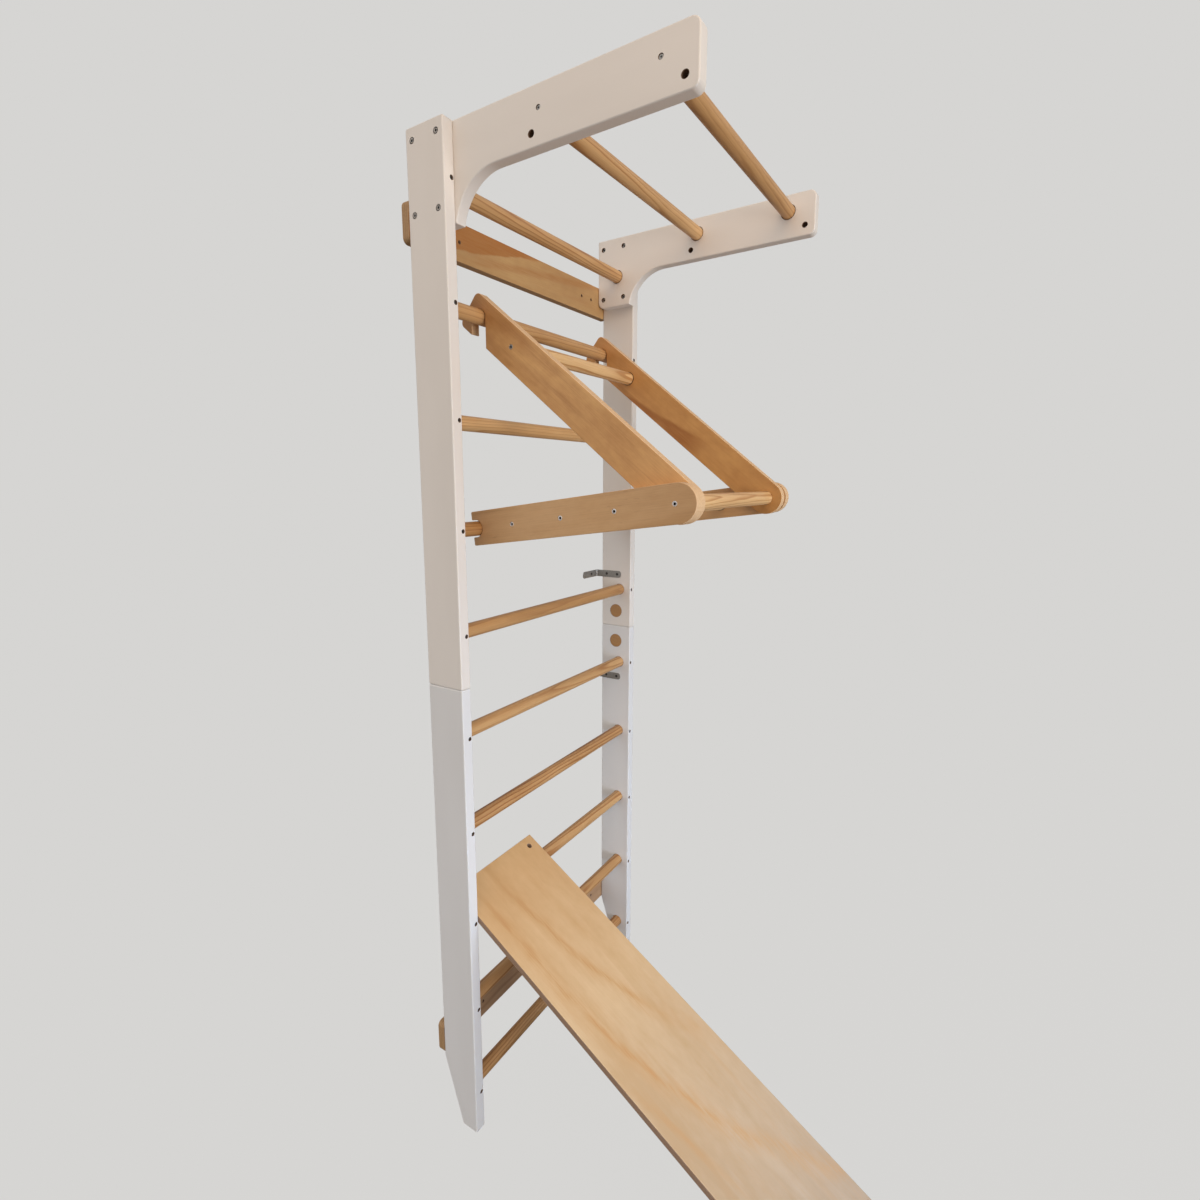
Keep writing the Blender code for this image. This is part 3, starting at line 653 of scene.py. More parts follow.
print("a streak fades out over", round(1000 * STREAK_FADES[2]), "mm")

# %% Plywood faces
BANDS_PER_METRE = 19.0


def veneer(name, pale, warm, streak, figure, streaks=(), tint=(0.0, 1.0, ())):
    """A plywood face: its two ground colours, the streaks' colour, how strong the broad figure
    is, any streaks that are drawn one by one, and a tint that changes along the grain, which is
    painted light and shade. Bands are sines of the place across the grain, which sways, and
    shorter marks are noise."""
    made, shader, point = new_finish(name)
    sway = point.stretched(2.2, 7.0, 7.0).noise(3.0) - 0.5
    wave = point.stretched(2.4, 12.0, 12.0).noise(4.0, 0.8)
    lines = (point.part("Y") + sway * 0.15) * (BANDS_PER_METRE * 2 * math.pi)
    bands = lines.through("SINE").between(0.45, 1.0)
    patchy = point.stretched(1.7, 9.0, 9.0).noise(2.0).between(0.46, 0.70)
    stray = point.stretched(2.6, 46.0, 46.0).noise(2.0, 0.4).between(0.60, 0.76)
    fibre = point.stretched(9.0, 620.0, 620.0).noise(4.0)
    flecks = point.stretched(60.0, 900.0, 900.0).noise(1.0).between(0.60, 0.78)
    strokes = (point.stretched(48.0, 360.0, 0.0).noise(2.0).between(0.63, 0.72)
               * point.stretched(5.0, 14.0, 0.0).noise(2.0).between(0.48, 0.62))
    mottle = point.stretched(34.0, 60.0, 60.0).noise(3.0)
    ground = (wave + mottle * 0.35 - 0.175).between(0.3, 0.7).mixed(pale, warm)
    # painted light and shade: the ground colour changes along the grain
    if tint[2]:
        ground = ground.times(point.part("X").between(tint[0], tint[1]).ramp(*tint[2]))
    dark = (bands * patchy * figure + stray * (figure * 0.6)
            + fibre.between(0.35, 0.7, -0.05, 0.16) + flecks * 0.12 + strokes * 0.30)
    for drawn in streaks:
        dark = dark + drawn_streak(point, *drawn)
    dark = dark.between(0.0, 1.0)
    feed(shader,
         Base_Color=dark.mixed(ground, streak),
         Roughness=fibre.between(0.3, 0.7, 0.45, 0.58),
         Normal=raised(fibre * 0.7 - flecks * 0.3, 0.10, 0.0004))
    return made


print("bands of the figure lie", round(1000 / BANDS_PER_METRE), "mm apart")

# %% Plywood edges and plugs
LAYER_RIPPLE = 0.0004
PLUG_RING = 0.0028
PLUG_WOBBLE = 0.0025


def ply_edge(name, light, dark, layer):
    """A plywood edge: wide pale layers with a thin dark one between, from the fraction of
    (depth + ripple) / a pair's thickness, and end-grain specks."""
    made, shader, point = new_finish(name)
    ripple = point.stretched(30.0, 30.0, 0.0).noise(1.0) - 0.5
    layers = (point.part("Z") + ripple * LAYER_RIPPLE) * (1 / layer)
    turn = layers.through("FRACT").levels((0.0, 0.0), (0.62, 0.10), (0.74, 1.0), (0.94, 0.9))
    speck = point.stretched(300.0, 300.0, 500.0).noise(3.0)
    shade = (turn * 0.55 + speck.between(0.35, 0.7, 0.0, 0.3)).between(0.0, 1.0)
    feed(shader,
         Base_Color=shade.mixed(light, dark),
         Roughness=speck.between(0.3, 0.7, 0.55, 0.70),
         Normal=raised(speck - turn * 0.3, 0.15, 0.0004))
    return made


def plug_wood(light, dark):
    """A plug's face: steps of the distance from its middle, bent a little, with pores."""
    made, shader, point = new_finish("plug_wood")
    square = point.part("X") * point.part("X") + point.part("Y") * point.part("Y")
    wobble = point.stretched(90.0, 90.0, 0.0).noise(2.0) - 0.5
    steps = (square.through("SQRT") + wobble * PLUG_WOBBLE) * (1 / PLUG_RING)
    ring = steps.through("FRACT").between(0.45, 0.95)
    pores = point.stretched(1100.0, 1100.0, 0.0).noise(2.0)
    shade = (ring * 0.45 + pores.between(0.35, 0.7, 0.0, 0.35)).between(0.0, 1.0)
    feed(shader,
         Base_Color=shade.mixed(light, dark),
         Roughness=pores.between(0.3, 0.7, 0.5, 0.62),
         Normal=raised(pores, 0.10, 0.0004))
    return made


print("a plug's rings lie", round(1000 * PLUG_RING, 1), "mm apart")

# %% [markdown]
# ## Tones of the plywood parts
# No two sheets of plywood are alike, so each part has a tone of its own and streaks of its own.
# Along the grain the tone also changes, lighter, darker or cooler along each part, and that
# change is painted light and shade. One finish with random tones would be shorter, but the parts
# would be strangers. These numbers are all that the functions need, and another set gives another
# board. Colours are in linear light, where a number is lower than the shade looks.

# %% Streaks of each part
BOARD_STREAKS = (   # across, slope, bend, half width, soft, first, last, strength, wander, broken
    (0.184, -0.012, 0.333, 0.013, 0.0, -0.02, 0.62, 0.60, 0.020, 0.6),
    (0.184, -0.012, 0.333, 0.042, 0.0, 0.05, 0.92, 0.52, 0.045, 0.7),
    (0.249, 0.102, 0.583, 0.012, 0.0, -0.04, 0.34, 0.56, 0.020, 0.6),
    (0.249, 0.102, 0.583, 0.036, 0.0, 0.02, 0.52, 0.52, 0.045, 0.7),
    (0.072, 0.170, 0.0, 0.014, 0.0, 0.50, 0.66, 0.50, 0.010, 0.5),
    (0.330, 0.060, 0.100, 0.016, 0.0, 0.02, 0.22, 0.35, 0.020, 0.8),
)
BATTEN_STREAKS = (
    (0.5255, 0.190, 0.0, 0.032, 0.85, -0.50, -0.02, 0.95, 0.026, 0.12),
    (0.4665, 0.115, 0.0, 0.013, 0.2, -0.17, 0.34, 0.48, 0.012, 0.35),
)
NEAR_STREAKS = (
    (0.295, 0.0, 0.0, 0.012, 0.0, 0.30, 0.34, 0.55, 0.020, 0.6),
    (0.310, 0.040, 0.0, 0.016, 0.0, 0.06, 0.52, 0.30, 0.060, 0.9),
)
FAR_STREAKS = ((2.315, -0.167, 0.0, 0.032, 0.72, 0.24, 0.46, 0.95, 0.020, 0.25),)
print("streaks drawn", sum(map(len, (BOARD_STREAKS, BATTEN_STREAKS, NEAR_STREAKS, FAR_STREAKS))))

# %% Painted light and shade along the grain
# each ramp is painted light and shade along a part's grain: the board is warmer at its top and
# darker and cooler towards its foot, and the plates are lighter or darker along their length
BOARD_PAINTED_LIGHT = (-0.06, 1.0, ((0.0, (0.98, 0.87, 0.72)), (0.38, (1.0, 1.0, 1.0)),
                           (1.0, (0.66, 0.74, 0.98))))
NEAR_PLATE_PAINTED_LIGHT = (-0.04, 0.64, ((0.0, (1.12, 1.12, 1.14)), (0.35, (1.0, 1.0, 1.0)),
                           (0.7, (1.0, 1.0, 1.0)), (1.0, (0.86, 0.80, 0.74))))
FAR_PLATE_PAINTED_LIGHT = (-0.04, 0.64, ((0.0, (0.82, 0.77, 0.71)), (0.40, (1.0, 1.0, 1.0)),
                          (1.0, (1.0, 0.94, 0.90))))
LOWER_PLATE_PAINTED_LIGHT = (-0.04, 0.60, ((0.0, (0.98, 0.96, 0.93)), (0.35, (1.12, 1.14, 1.15)),
                            (1.0, (1.03, 1.04, 1.05))))
print("the board's tint runs over", round(BOARD_PAINTED_LIGHT[1] - BOARD_PAINTED_LIGHT[0], 2), "metres")

# %% Plywood finishes
plate_face = veneer("plate_veneer", (0.74, 0.430, 0.168, 1), (0.52, 0.256, 0.086, 1),
                    (0.36, 0.150, 0.042, 1), 0.4, NEAR_STREAKS, NEAR_PLATE_PAINTED_LIGHT)
far_face = veneer("far_plate_veneer", (0.70, 0.375, 0.122, 1), (0.50, 0.235, 0.067, 1),
                  (0.38, 0.145, 0.032, 1), 0.4, FAR_STREAKS, FAR_PLATE_PAINTED_LIGHT)
lower_face = veneer("lower_plate_veneer", (0.56, 0.340, 0.165, 1), (0.48, 0.270, 0.115, 1),
                    (0.27, 0.130, 0.050, 1), 0.6, (), LOWER_PLATE_PAINTED_LIGHT)
plate_edge = ply_edge("plate_edge", (0.84, 0.570, 0.320, 1), (0.48, 0.27, 0.13, 1), 0.0048)
board_face = veneer("board_veneer", (0.74, 0.525, 0.300, 1), (0.64, 0.420, 0.215, 1),
                    (0.60, 0.322, 0.126, 1), 0.15, BOARD_STREAKS, BOARD_PAINTED_LIGHT)
board_edge = ply_edge("board_edge", (0.36, 0.23, 0.150, 1), (0.20, 0.12, 0.075, 1), 0.0050)
batten_face = veneer("batten_veneer", (0.57, 0.350, 0.145, 1), (0.48, 0.275, 0.110, 1),
                     (0.43, 0.174, 0.043, 1), 0.3, BATTEN_STREAKS)
# the bottom batten's veneer is darker and greyer than the top one's as painted shade, for the
# shadow under the board
shaded_low_batten_face = veneer("shaded_low_batten_veneer", (0.45, 0.274, 0.148, 1), (0.38, 0.220, 0.115, 1),
                         (0.24, 0.108, 0.046, 1), 0.6)
batten_edge = ply_edge("batten_edge", (0.46, 0.28, 0.13, 1), (0.28, 0.15, 0.07, 1), 0.0049)
plug_face = plug_wood((0.50, 0.270, 0.105, 1), (0.20, 0.088, 0.028, 1))
print("finishes", [made.name for made in (plate_face, far_face, lower_face, board_face,
                                          batten_face, shaded_low_batten_face, plug_face)])

# %% [markdown]
# ## Zinc and dark recesses
# Bolts, screws and brackets are zinc-plated steel, grey and slightly patchy. A bright metal would
# mirror the room, so noise keeps the shine broken and fairly dull. Hardly any light gets into the
# recess of a screw's head. It has a nearly black finish that isn't a metal, because a metal there
# would still shine.

# %% Steel
def steel(name, colour, rough):
    """Zinc plate of a colour: patches down to 0.72 of it, and scratches that change its gloss."""
    made, shader, point = new_finish(name, "object")
    patch = point.stretched(300.0, 300.0, 300.0).noise(3.0)
    scratch = point.stretched(2500.0, 400.0, 2500.0).noise(2.0)
    feed(shader,
         Base_Color=patch.between(0.3, 0.7).mixed((*(0.72 * np.array(colour)), 1), (*colour, 1)),
         Roughness=scratch.between(0.3, 0.7, rough - 0.08, rough + 0.10),
         Normal=raised(scratch, 0.08, 0.0001))
    shader.inputs["Metallic"].default_value = 0.9
    return made


zinc = steel("zinc", (0.46, 0.44, 0.41), 0.42)
bright_zinc = steel("bright_zinc", (0.97, 0.92, 0.88), 0.45)
dark_steel = steel("dark_zinc", (0.13, 0.12, 0.11), 0.5)
recess_shade = steel("recess_shade", (0.006, 0.006, 0.006), 0.8)
recess_sockets = recess_shade.node_tree.nodes["Principled BSDF"].inputs
recess_sockets["Metallic"].default_value = 0.0
recess_sockets["Specular IOR Level"].default_value = 0.1
print("finishes", zinc.name, bright_zinc.name, dark_steel.name, recess_shade.name)

# %% [markdown]
# ## Places that several pieces share
# The packed model's boxes give the ladder's faces, the rungs' axes and the plates' faces. The
# numbers could be typed in again, but then a change to the model would leave them behind.

# %% Shared places
SIDES = {"left": -1, "right": 1}
LEVELS = ("upper", "lower")
RUNG_RADIUS = 0.016
TOUCH = 0.0003      # gap between a piece and the hole or face that takes it
RUNGS = [f"rung_{number:02d}" for number in range(1, 11)]

upper_low, upper_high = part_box("right_upright_upper")
INNER, OUTER = upper_low.x, upper_high.x
FRONT, REAR = upper_low.y, upper_high.y
TOP = upper_high.z
rung_places = {node: centre_of(node) for node in RUNGS}
RUNG_Y = rung_places["rung_01"][1]
print("ladder", round(OUTER * 2, 4), "wide,", round(TOP, 4), "high")

# %% [markdown]
# ## Uprights
# Each upright is two lengths of 28 by 99 mm timber, bolted end to end. The long edges are rounded
# by 3 mm and the foot is cut back at the rear to clear a skirting board. A cube with a Bevel
# modifier could stand for one. Drawing the profile in near each face makes the same rounding and
# leaves nothing to fit. Sockets take the rungs with a hair's gap, which shows as a dark line round
# each, partly because the sockets' walls are darkened as painted shade, and a screw from the front
# edge locks each rung.

# %% Sizes of the uprights
PAINTED_EDGE = 0.003
PAINTED_CORNER = 0.0032
SOCKET_DEPTH = 0.018
SOCKET_FLARE = 0.0006
TAPER_START = 0.165
FOOT_DEPTH = 0.045
PLUG_RADIUS = 0.020
POCKET_DEPTH = 0.021
SLIGHT_FLARE = 0.0002       # how far a mouth widens where its edge is nearly sharp
LOCK_HOLE = 0.0042
LOCK_DEPTH = 0.006
LOCK_X = OUTER - 0.020
BOLT_HEAD = 0.007
BOLT_HEAD_DEPTH = 0.003
BOLT_SHANK_HOLE = [(-0.03, 0.0033), (0.005, 0.0033)]
YZ_AXES = ((0, 1, 0), (0, 0, 1), (1, 0, 0))
UPRIGHT_GRAIN = 0.3         # how far along the grain each side's timber starts
arm_bolts = [centre_of(f"right_arm_bolt_{number}")[1:] for number in (1, 2, 3, 4)]
print("timber", round((OUTER - INNER) * 1000), "by", round((REAR - FRONT) * 1000), "mm")


# %% Uprights
def make_upright(side_name, section):
    """One length: a rectangle (y, z), with its rear foot corner cut back on the lower one,
    carried through its thickness and then drilled."""
    side = SIDES[side_name]
    node = f"{side_name}_upright_{section}"
    low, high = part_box(node)
    corners = four_corners((low.y, low.z), (high.y, high.z), PAINTED_CORNER)
    if section == "lower":
        corners[1:2] = [(low.y + FOOT_DEPTH, low.z, PAINTED_CORNER),
                        (high.y, TAPER_START, PAINTED_CORNER)]
    body = plank(rounded(corners), YZ_AXES, low.x, high.x, PAINTED_EDGE)
    made = piece(f"{node}_painted", [body], paint if section == "upper" else lower_paint,
                 shaded_hole_wall)
    holes = []
    for place in rung_places.values():
        if low.z < place[2] < high.z:
            holes.append(into((side * INNER, RUNG_Y, place[2]), (-side, 0, 0), SOCKET_DEPTH,
                              RUNG_RADIUS + TOUCH, SOCKET_FLARE))
            holes.append(into((side * LOCK_X, FRONT, place[2]), (0, -1, 0), LOCK_DEPTH,
                              LOCK_HOLE))
    plug = centre_of(f"{side_name}_joint_plug_{section}")
    holes.append(into((side * INNER, plug[1], plug[2]), (-side, 0, 0), POCKET_DEPTH,
                      PLUG_RADIUS + TOUCH, SLIGHT_FLARE))
    if section == "upper":
        holes += [into((side * OUTER, y, z), (side, 0, 0), BOLT_HEAD_DEPTH + TOUCH,
                       BOLT_HEAD + TOUCH) for y, z in arm_bolts]
        holes += [lathe(BOLT_SHANK_HOLE, (side * OUTER, y, z), (side, 0, 0), 24)
                  for y, z in arm_bolts]
    cut(made, holes)
    grained(made, (0, 0, 1), (0, 1, 0), (UPRIGHT_GRAIN * side, 0.0, 0.0))
    return settled(made, "ladder", "painted_timber", node)


uprights = [make_upright(side_name, section) for side_name in SIDES for section in LEVELS]
print("uprights", [made.name for made in uprights])

# %% [markdown]
# ## Overhead arms
# The arms are cut from one board each. A quarter-round gusset carries the beam into the leg that
# is bolted to the upright, and the tip's corners are rounded. Two boxes and a wedge could be
# joined, but their seams would show under the paint. One outline has none: a list of corners with
# radii, with the gusset's arc written into it as points.

# %% Sizes of the arms
ARM_HEIGHT = 0.180
BEAM_HEIGHT = 0.0985
GUSSET = 0.098
HEEL_CORNER = 0.018
TIP_CORNERS = (0.016, 0.013)
ARM_SOCKET = 0.015
ARM_LOCK_DEPTH = 0.004
HANGING_ROWS = ((-0.017, 0.0068), (-0.0135, 0.0068), (-0.0127, 0.006),
                (0.0127, 0.006), (0.0135, 0.0068), (0.017, 0.0068))     # rims eased
HANGING_DROP = 0.075
ARM_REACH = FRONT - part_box("right_arm")[0].y
HANGING_REACHES = (0.183, ARM_REACH - 0.0235)
# the gap's walls take the dark hole finish, so part of this dark line is painted shade
GAP = 0.0008                # gap round a rung's end, which shows as a dark line
RUNG_PASS = [(-0.04, RUNG_RADIUS + 2 * GAP), (0.04, RUNG_RADIUS + 2 * GAP)]
SLEEVE = 0.0055
SLEEVE_POCKET = 0.0173
ARM_GRAIN = 0.7
ARM_RUNGS = ("arm_rung_middle", "arm_rung_front")
print("the arms reach", round(ARM_REACH, 4), "metres out of the ladder")


# %% Outline of an arm
def arm_outline():
    """The arm seen from its side: the gusset's arc, then heel, top and tip."""
    tip = FRONT - ARM_REACH
    beam = TOP - BEAM_HEIGHT
    bottom = TOP - ARM_HEIGHT
    centre = (FRONT - GUSSET, beam - GUSSET)
    last = math.degrees(math.asin((bottom - centre[1]) / GUSSET))
    corners = arc(centre, GUSSET, 90, last, 24)
    corners += [(REAR, bottom, HEEL_CORNER), (REAR, TOP, PAINTED_CORNER),
                (tip, TOP, TIP_CORNERS[0]), (tip, beam, TIP_CORNERS[1])]
    return rounded(corners)


print("an arm's outline has", len(arm_outline()), "points")


# %% Arms
def make_arm(side_name):
    """The outline carried through the board's thickness, then drilled for rungs, bolts and
    the two holes that ropes hang from."""
    side = SIDES[side_name]
    node = f"{side_name}_arm"
    low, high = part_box(node)
    inner, outer = sorted((low.x, high.x), key=abs)
    made = piece(f"{node}_painted", [plank(arm_outline(), YZ_AXES, low.x, high.x, PAINTED_EDGE)],
                 paint, shaded_hole_wall)
    middle = (low.x + high.x) / 2
    holes = [lathe(RUNG_PASS, (middle, RUNG_Y, rung_places["rung_01"][2]))]
    for rung in ARM_RUNGS:
        _, y, z = centre_of(rung)
        holes.append(into((inner, y, z), (-side, 0, 0), ARM_SOCKET, RUNG_RADIUS + GAP, GAP))
        holes.append(into((outer, y, z), (side, 0, 0), ARM_LOCK_DEPTH, LOCK_HOLE))
    for reach in HANGING_REACHES:
        holes.append(lathe(HANGING_ROWS, (middle, FRONT - reach, TOP - HANGING_DROP)))
    holes += [into((inner, y, z), (-side, 0, 0), SLEEVE_POCKET, SLEEVE + TOUCH)
              for y, z in arm_bolts]
    cut(made, holes)
    grained(made, (0, 1, 0), (0, 0, 1), (ARM_GRAIN * side, 0.0, 0.0))
    return settled(made, "ladder", "painted_timber", node)


arms = [make_arm(side_name) for side_name in SIDES]
print("arms", [made.name for made in arms])

# %% [markdown]
# ## Rungs
# Seventeen rungs of 32 mm: ten in the ladder, two between the arms, and five in the triangle. A
# cylinder would have sharp ends, so each is a lathe profile with eased ones, as a turner leaves
# them. A seeded random spot and turn in the log give every rung its own grain, the same in each
# run. A table makes each as pale and as lined as the real one, and the rung with the boldest
# lines has its place in the log given in a table of its own.

# %% Looks of the rungs
# rung_04 and rung_10 are darker here as painted shade, for the shade that falls on them
RUNG_LOOKS = {      # paleness, boldness of the growth lines
    "rung_02": (0.38, 0.9), "rung_03": (0.66, 1.0), "rung_04": (-0.05, 1.0),
    "rung_05": (0.22, 0.6), "rung_06": (0.42, 0.8), "rung_07": (0.30, 2.2),
    "rung_08": (0.52, 1.6), "rung_09": (0.40, 1.4), "rung_10": (0.31, 1.4),
    "arm_rung_middle": (0.65, 1.0), "arm_rung_front": (0.30, 0.8),
    "triangle_top_rung": (1.05, 1.5),
    "triangle_pivot_rung": (1.00, 1.1), "triangle_lower_1_rung": (1.10, 1.0),
    "triangle_lower_2_rung": (1.00, 1.0),
}
PLAIN_LOOK = (0.5, 1.0)
RUNG_CUTS = {"rung_07": (1.87, 0.045, 0.86)}    # turn, distance from the heart and scale
HEART_RANGE = (0.012, 0.05)
LOG_LENGTH = (1, 30)
print("rungs with a look of their own", len(RUNG_LOOKS))

# %% Rungs
END_EASE = 0.0015
log = np.random.default_rng(7)


def make_rung(node, body):
    """A round body along x, whose grain place is its offset from its middle, turned by an angle
    and moved away from the log's heart."""
    low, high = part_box(node)
    place = centre_of(node)
    half = high.x - place[0]
    inside = np.linspace(-half + END_EASE, half - END_EASE, 9)
    rows = [(-half, RUNG_RADIUS - END_EASE)] + [(x, RUNG_RADIUS) for x in inside]
    rows += [(half, RUNG_RADIUS - END_EASE)]
    made = piece(f"{node}_turned", [lathe(rows, place)], pine_grain)
    turn = log.uniform(0, 2 * math.pi)
    heart = log.uniform(*HEART_RANGE)
    turn, heart, scale = RUNG_CUTS.get(node, (turn, heart, 1.0))
    offset = corner_points(made) - place
    spun = np.stack([np.cos(turn) * offset[:, 1] - np.sin(turn) * offset[:, 2] + heart,
                     np.sin(turn) * offset[:, 1] + np.cos(turn) * offset[:, 2]], 1)
    along = offset[:, :1] * log.choice((-1, 1)) + log.uniform(*LOG_LENGTH)
    grain_places(made, np.concatenate([along, spun * scale], 1))
    stored = made.data.attributes.new(RUNG_LOOK, "FLOAT_VECTOR", "POINT")
    look = np.array((*RUNG_LOOKS.get(node, PLAIN_LOOK), 0.0), np.float32)
    stored.data.foreach_set("vector", np.tile(look, len(offset)))
    return settled(made, body, "pine_rung", node)


TRIANGLE_RUNGS = {"triangle_top_rung": "triangle_diagonals",
                  **{f"triangle_{name}_rung": "triangle_lower_frame"
                     for name in ("pivot", "lower_1", "lower_2", "lower_3")}}
rungs = [make_rung(node, "ladder") for node in (*RUNGS, *ARM_RUNGS)]
rungs += [make_rung(node, body) for node, body in TRIANGLE_RUNGS.items()]
print("rungs", len(rungs))

# %% [markdown]
# ## Wall battens
# Two plywood battens run behind the uprights and are screwed to the wall. Their corners are
# rounded, and the screw holes near the ends are countersunk. They are planks like the uprights,
# but bare, so their edges need the layers' finish: each face that doesn't look along the board's
# thickness gets it.

# %% Battens
BATTEN_CORNER = 0.012
BATTEN_EDGE = 0.0012
WALL_SCREW = 0.0028
WALL_SCREW_DEPTH = 0.03
WALL_SCREWS_X = (-0.293, -0.244, 0.244, 0.293)
XZ_AXES = ((1, 0, 0), (0, 0, 1), (0, 1, 0))


def make_batten(level, face, shift):
    """A rectangle (x, z) carried through the board's thickness, with its screw holes. The shift
    slides the grain, which sets the streaks that it shows."""
    node = f"wall_batten_{level}"
    low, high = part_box(node)
    corners = four_corners((low.x, low.z), (high.x, high.z), BATTEN_CORNER)
    made = piece(f"{node}_ply", [plank(rounded(corners), XZ_AXES, low.y, high.y, BATTEN_EDGE)],
                 face, batten_edge, shaded_hole_wall)
    edges_by_normal(made, (0, 1, 0))
    middle = (low.z + high.z) / 2
    cut(made, [countersunk((x, low.y, middle), (0, -1, 0), WALL_SCREW_DEPTH, WALL_SCREW)
               for x in WALL_SCREWS_X], 2)
    grained(made, (1, 0, 0), (0, 0, 1), shift)
    return settled(made, "ladder", "plywood", node)


battens = [make_batten("top", batten_face, (0.0, -1.6, 0.0)),
           make_batten("bottom", shaded_low_batten_face, (9.4, 0.2, 0.0))]
print("battens", [made.name for made in battens])

# %% [markdown]
# ## The folding triangle
# Two diagonal plates hang from a rung by open hooks, and two lower plates reach back to another
# rung with forks. The slots could be cut with a Boolean, but its edges would be sharp. Hook and
# fork are part of each plate's outline instead, so their rims are softened like the rest. A
# plate's outline is drawn along its own length and placed by two directions.

# %% Sizes of the plates
PLATE_EDGE = 0.0014
HOOK = rung_places["rung_02"][1:]
PROP = rung_places["rung_04"][1:]
PIVOT = centre_of("triangle_pivot_rung")[1:]
NOTCH = 0.019               # half the width of the hook's and the fork's slots
SEAT = NOTCH - RUNG_RADIUS - TOUCH      # from the rung's axis to the slot's centre
MOUTH_CORNER = 0.002
DIAGONAL_HALF = 0.039
DIAGONAL_PAST_HOOK = 0.035
DIAGONAL_CORNER = 0.012
LOWER_HALF = 0.0375
LOWER_NOSE_SHIFT = 0.005
LOWER_PAST_PROP = 0.0112
LOWER_CORNER = 0.003
PIVOT_HOLE = RUNG_RADIUS + 0.0005
PIVOT_ROWS = [(-0.015, 0.0175), (-0.0115, PIVOT_HOLE), (0.0115, PIVOT_HOLE), (0.015, 0.0175)]
PLATE_SCREW = 0.0051
PLATE_SCREW_POCKET = 0.0035
# its walls take the dark hole finish, painted shade that draws a dark line round the rung
RUNG_MARK = 0.002           # depth of the thin recess round a rung's end
print("hook to pivot", round(float(np.linalg.norm(HOOK - PIVOT)), 4), "metres")


# %% Outlines of the plates
def plate_axes(end):
    """Along the plate from the pivot, to its left, and across the ladder."""
    forward = unit(np.asarray(end) - PIVOT)
    return ((0, forward[0], forward[1]), (0, -forward[1], forward[0]), (1, 0, 0))


def hooked_outline():
    """Nose, then the lower edge with a slot that opens straight down, then the end's corners.
    The slot's sides meet the lower edge where their height above it is used up."""
    span = np.linalg.norm(HOOK - PIVOT)
    forward = (HOOK - PIVOT) / span
    down = np.array((-forward[1], -forward[0]))     # straight down, seen along the plate
    beside = np.array((-down[1], down[0]))
    seat = np.array((span, 0.0)) + down * SEAT
    first = math.degrees(math.atan2(-beside[1], -beside[0]))
    walls = []
    for turn in (-1, 1):
        start = seat + beside * NOTCH * turn
        walls.append(start + down * (start[1] + DIAGONAL_HALF) / -down[1])
    near, far = sorted(walls, key=lambda wall: wall[0])
    slot = arc(seat, NOTCH, first, first - 180, 24)
    if np.hypot(*(np.array(slot[0][:2]) - near)) > np.hypot(*(np.array(slot[-1][:2]) - near)):
        slot = slot[::-1]
    end = span + DIAGONAL_PAST_HOOK
    corners = arc((0, 0), DIAGONAL_HALF, 90, 270, 32)
    corners += [(*near, MOUTH_CORNER)] + slot + [(*far, MOUTH_CORNER)]
    corners += [(end, -DIAGONAL_HALF, DIAGONAL_CORNER), (end, DIAGONAL_HALF, DIAGONAL_CORNER)]
    return rounded(corners)


def forked_outline():
    """Nose, the lower edge, then the open fork at the rear end, as deep as its seat."""
    span = np.linalg.norm(PROP - PIVOT)
    end = span + LOWER_PAST_PROP
    corners = arc((-LOWER_NOSE_SHIFT, 0), LOWER_HALF, 90, 270, 32)
    corners += [(end, -LOWER_HALF, LOWER_CORNER), (end, -NOTCH, MOUTH_CORNER)]
    corners += arc((span + SEAT, 0), NOTCH, 270, 90, 24)
    corners += [(end, NOTCH, MOUTH_CORNER), (end, LOWER_HALF, LOWER_CORNER)]
    return rounded(corners)


print("outlines have", len(hooked_outline()), "and", len(forked_outline()), "points")


# %% Triangle plates
def make_plate(kind, side_name, outline, end, body, screws, across):
    """An outline placed along its plate, drilled for the pivot rung, the screws and the rungs'
    ends. Its grain starts at the pivot, so far across the sheet that it was cut from."""
    side = SIDES[side_name]
    node = f"triangle_{kind}_{side_name}"
    low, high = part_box(node)
    axes = plate_axes(end)
    face = lower_face if kind == "lower" else (plate_face if side < 0 else far_face)
    made = piece(f"{node}_ply", [plank(outline, axes, low.x, high.x, PLATE_EDGE, (0, *PIVOT))],
                 face, plate_edge, shaded_hole_wall)
    inner, outer = sorted((low.x, high.x), key=abs)
    holes = [into((outer, y, z), (side, 0, 0), PLATE_SCREW_POCKET, PLATE_SCREW + SLIGHT_FLARE,
                  SLIGHT_FLARE) for y, z in screws]
    if kind == "diagonal":
        holes.append(lathe(PIVOT_ROWS, ((low.x + high.x) / 2, *PIVOT)))
    edges_by_normal(made, (1, 0, 0))
    cut(made, holes)
    cut(made, [into((inner, y, z), (-side, 0, 0), RUNG_MARK, RUNG_RADIUS + GAP, GAP)
               for y, z in screws], 2)
    start = np.array(axes) @ (0, *PIVOT)
    grained(made, axes[0], axes[1], (-start[0], across - start[1], 0.0))
    return settled(made, body, "plywood", node)


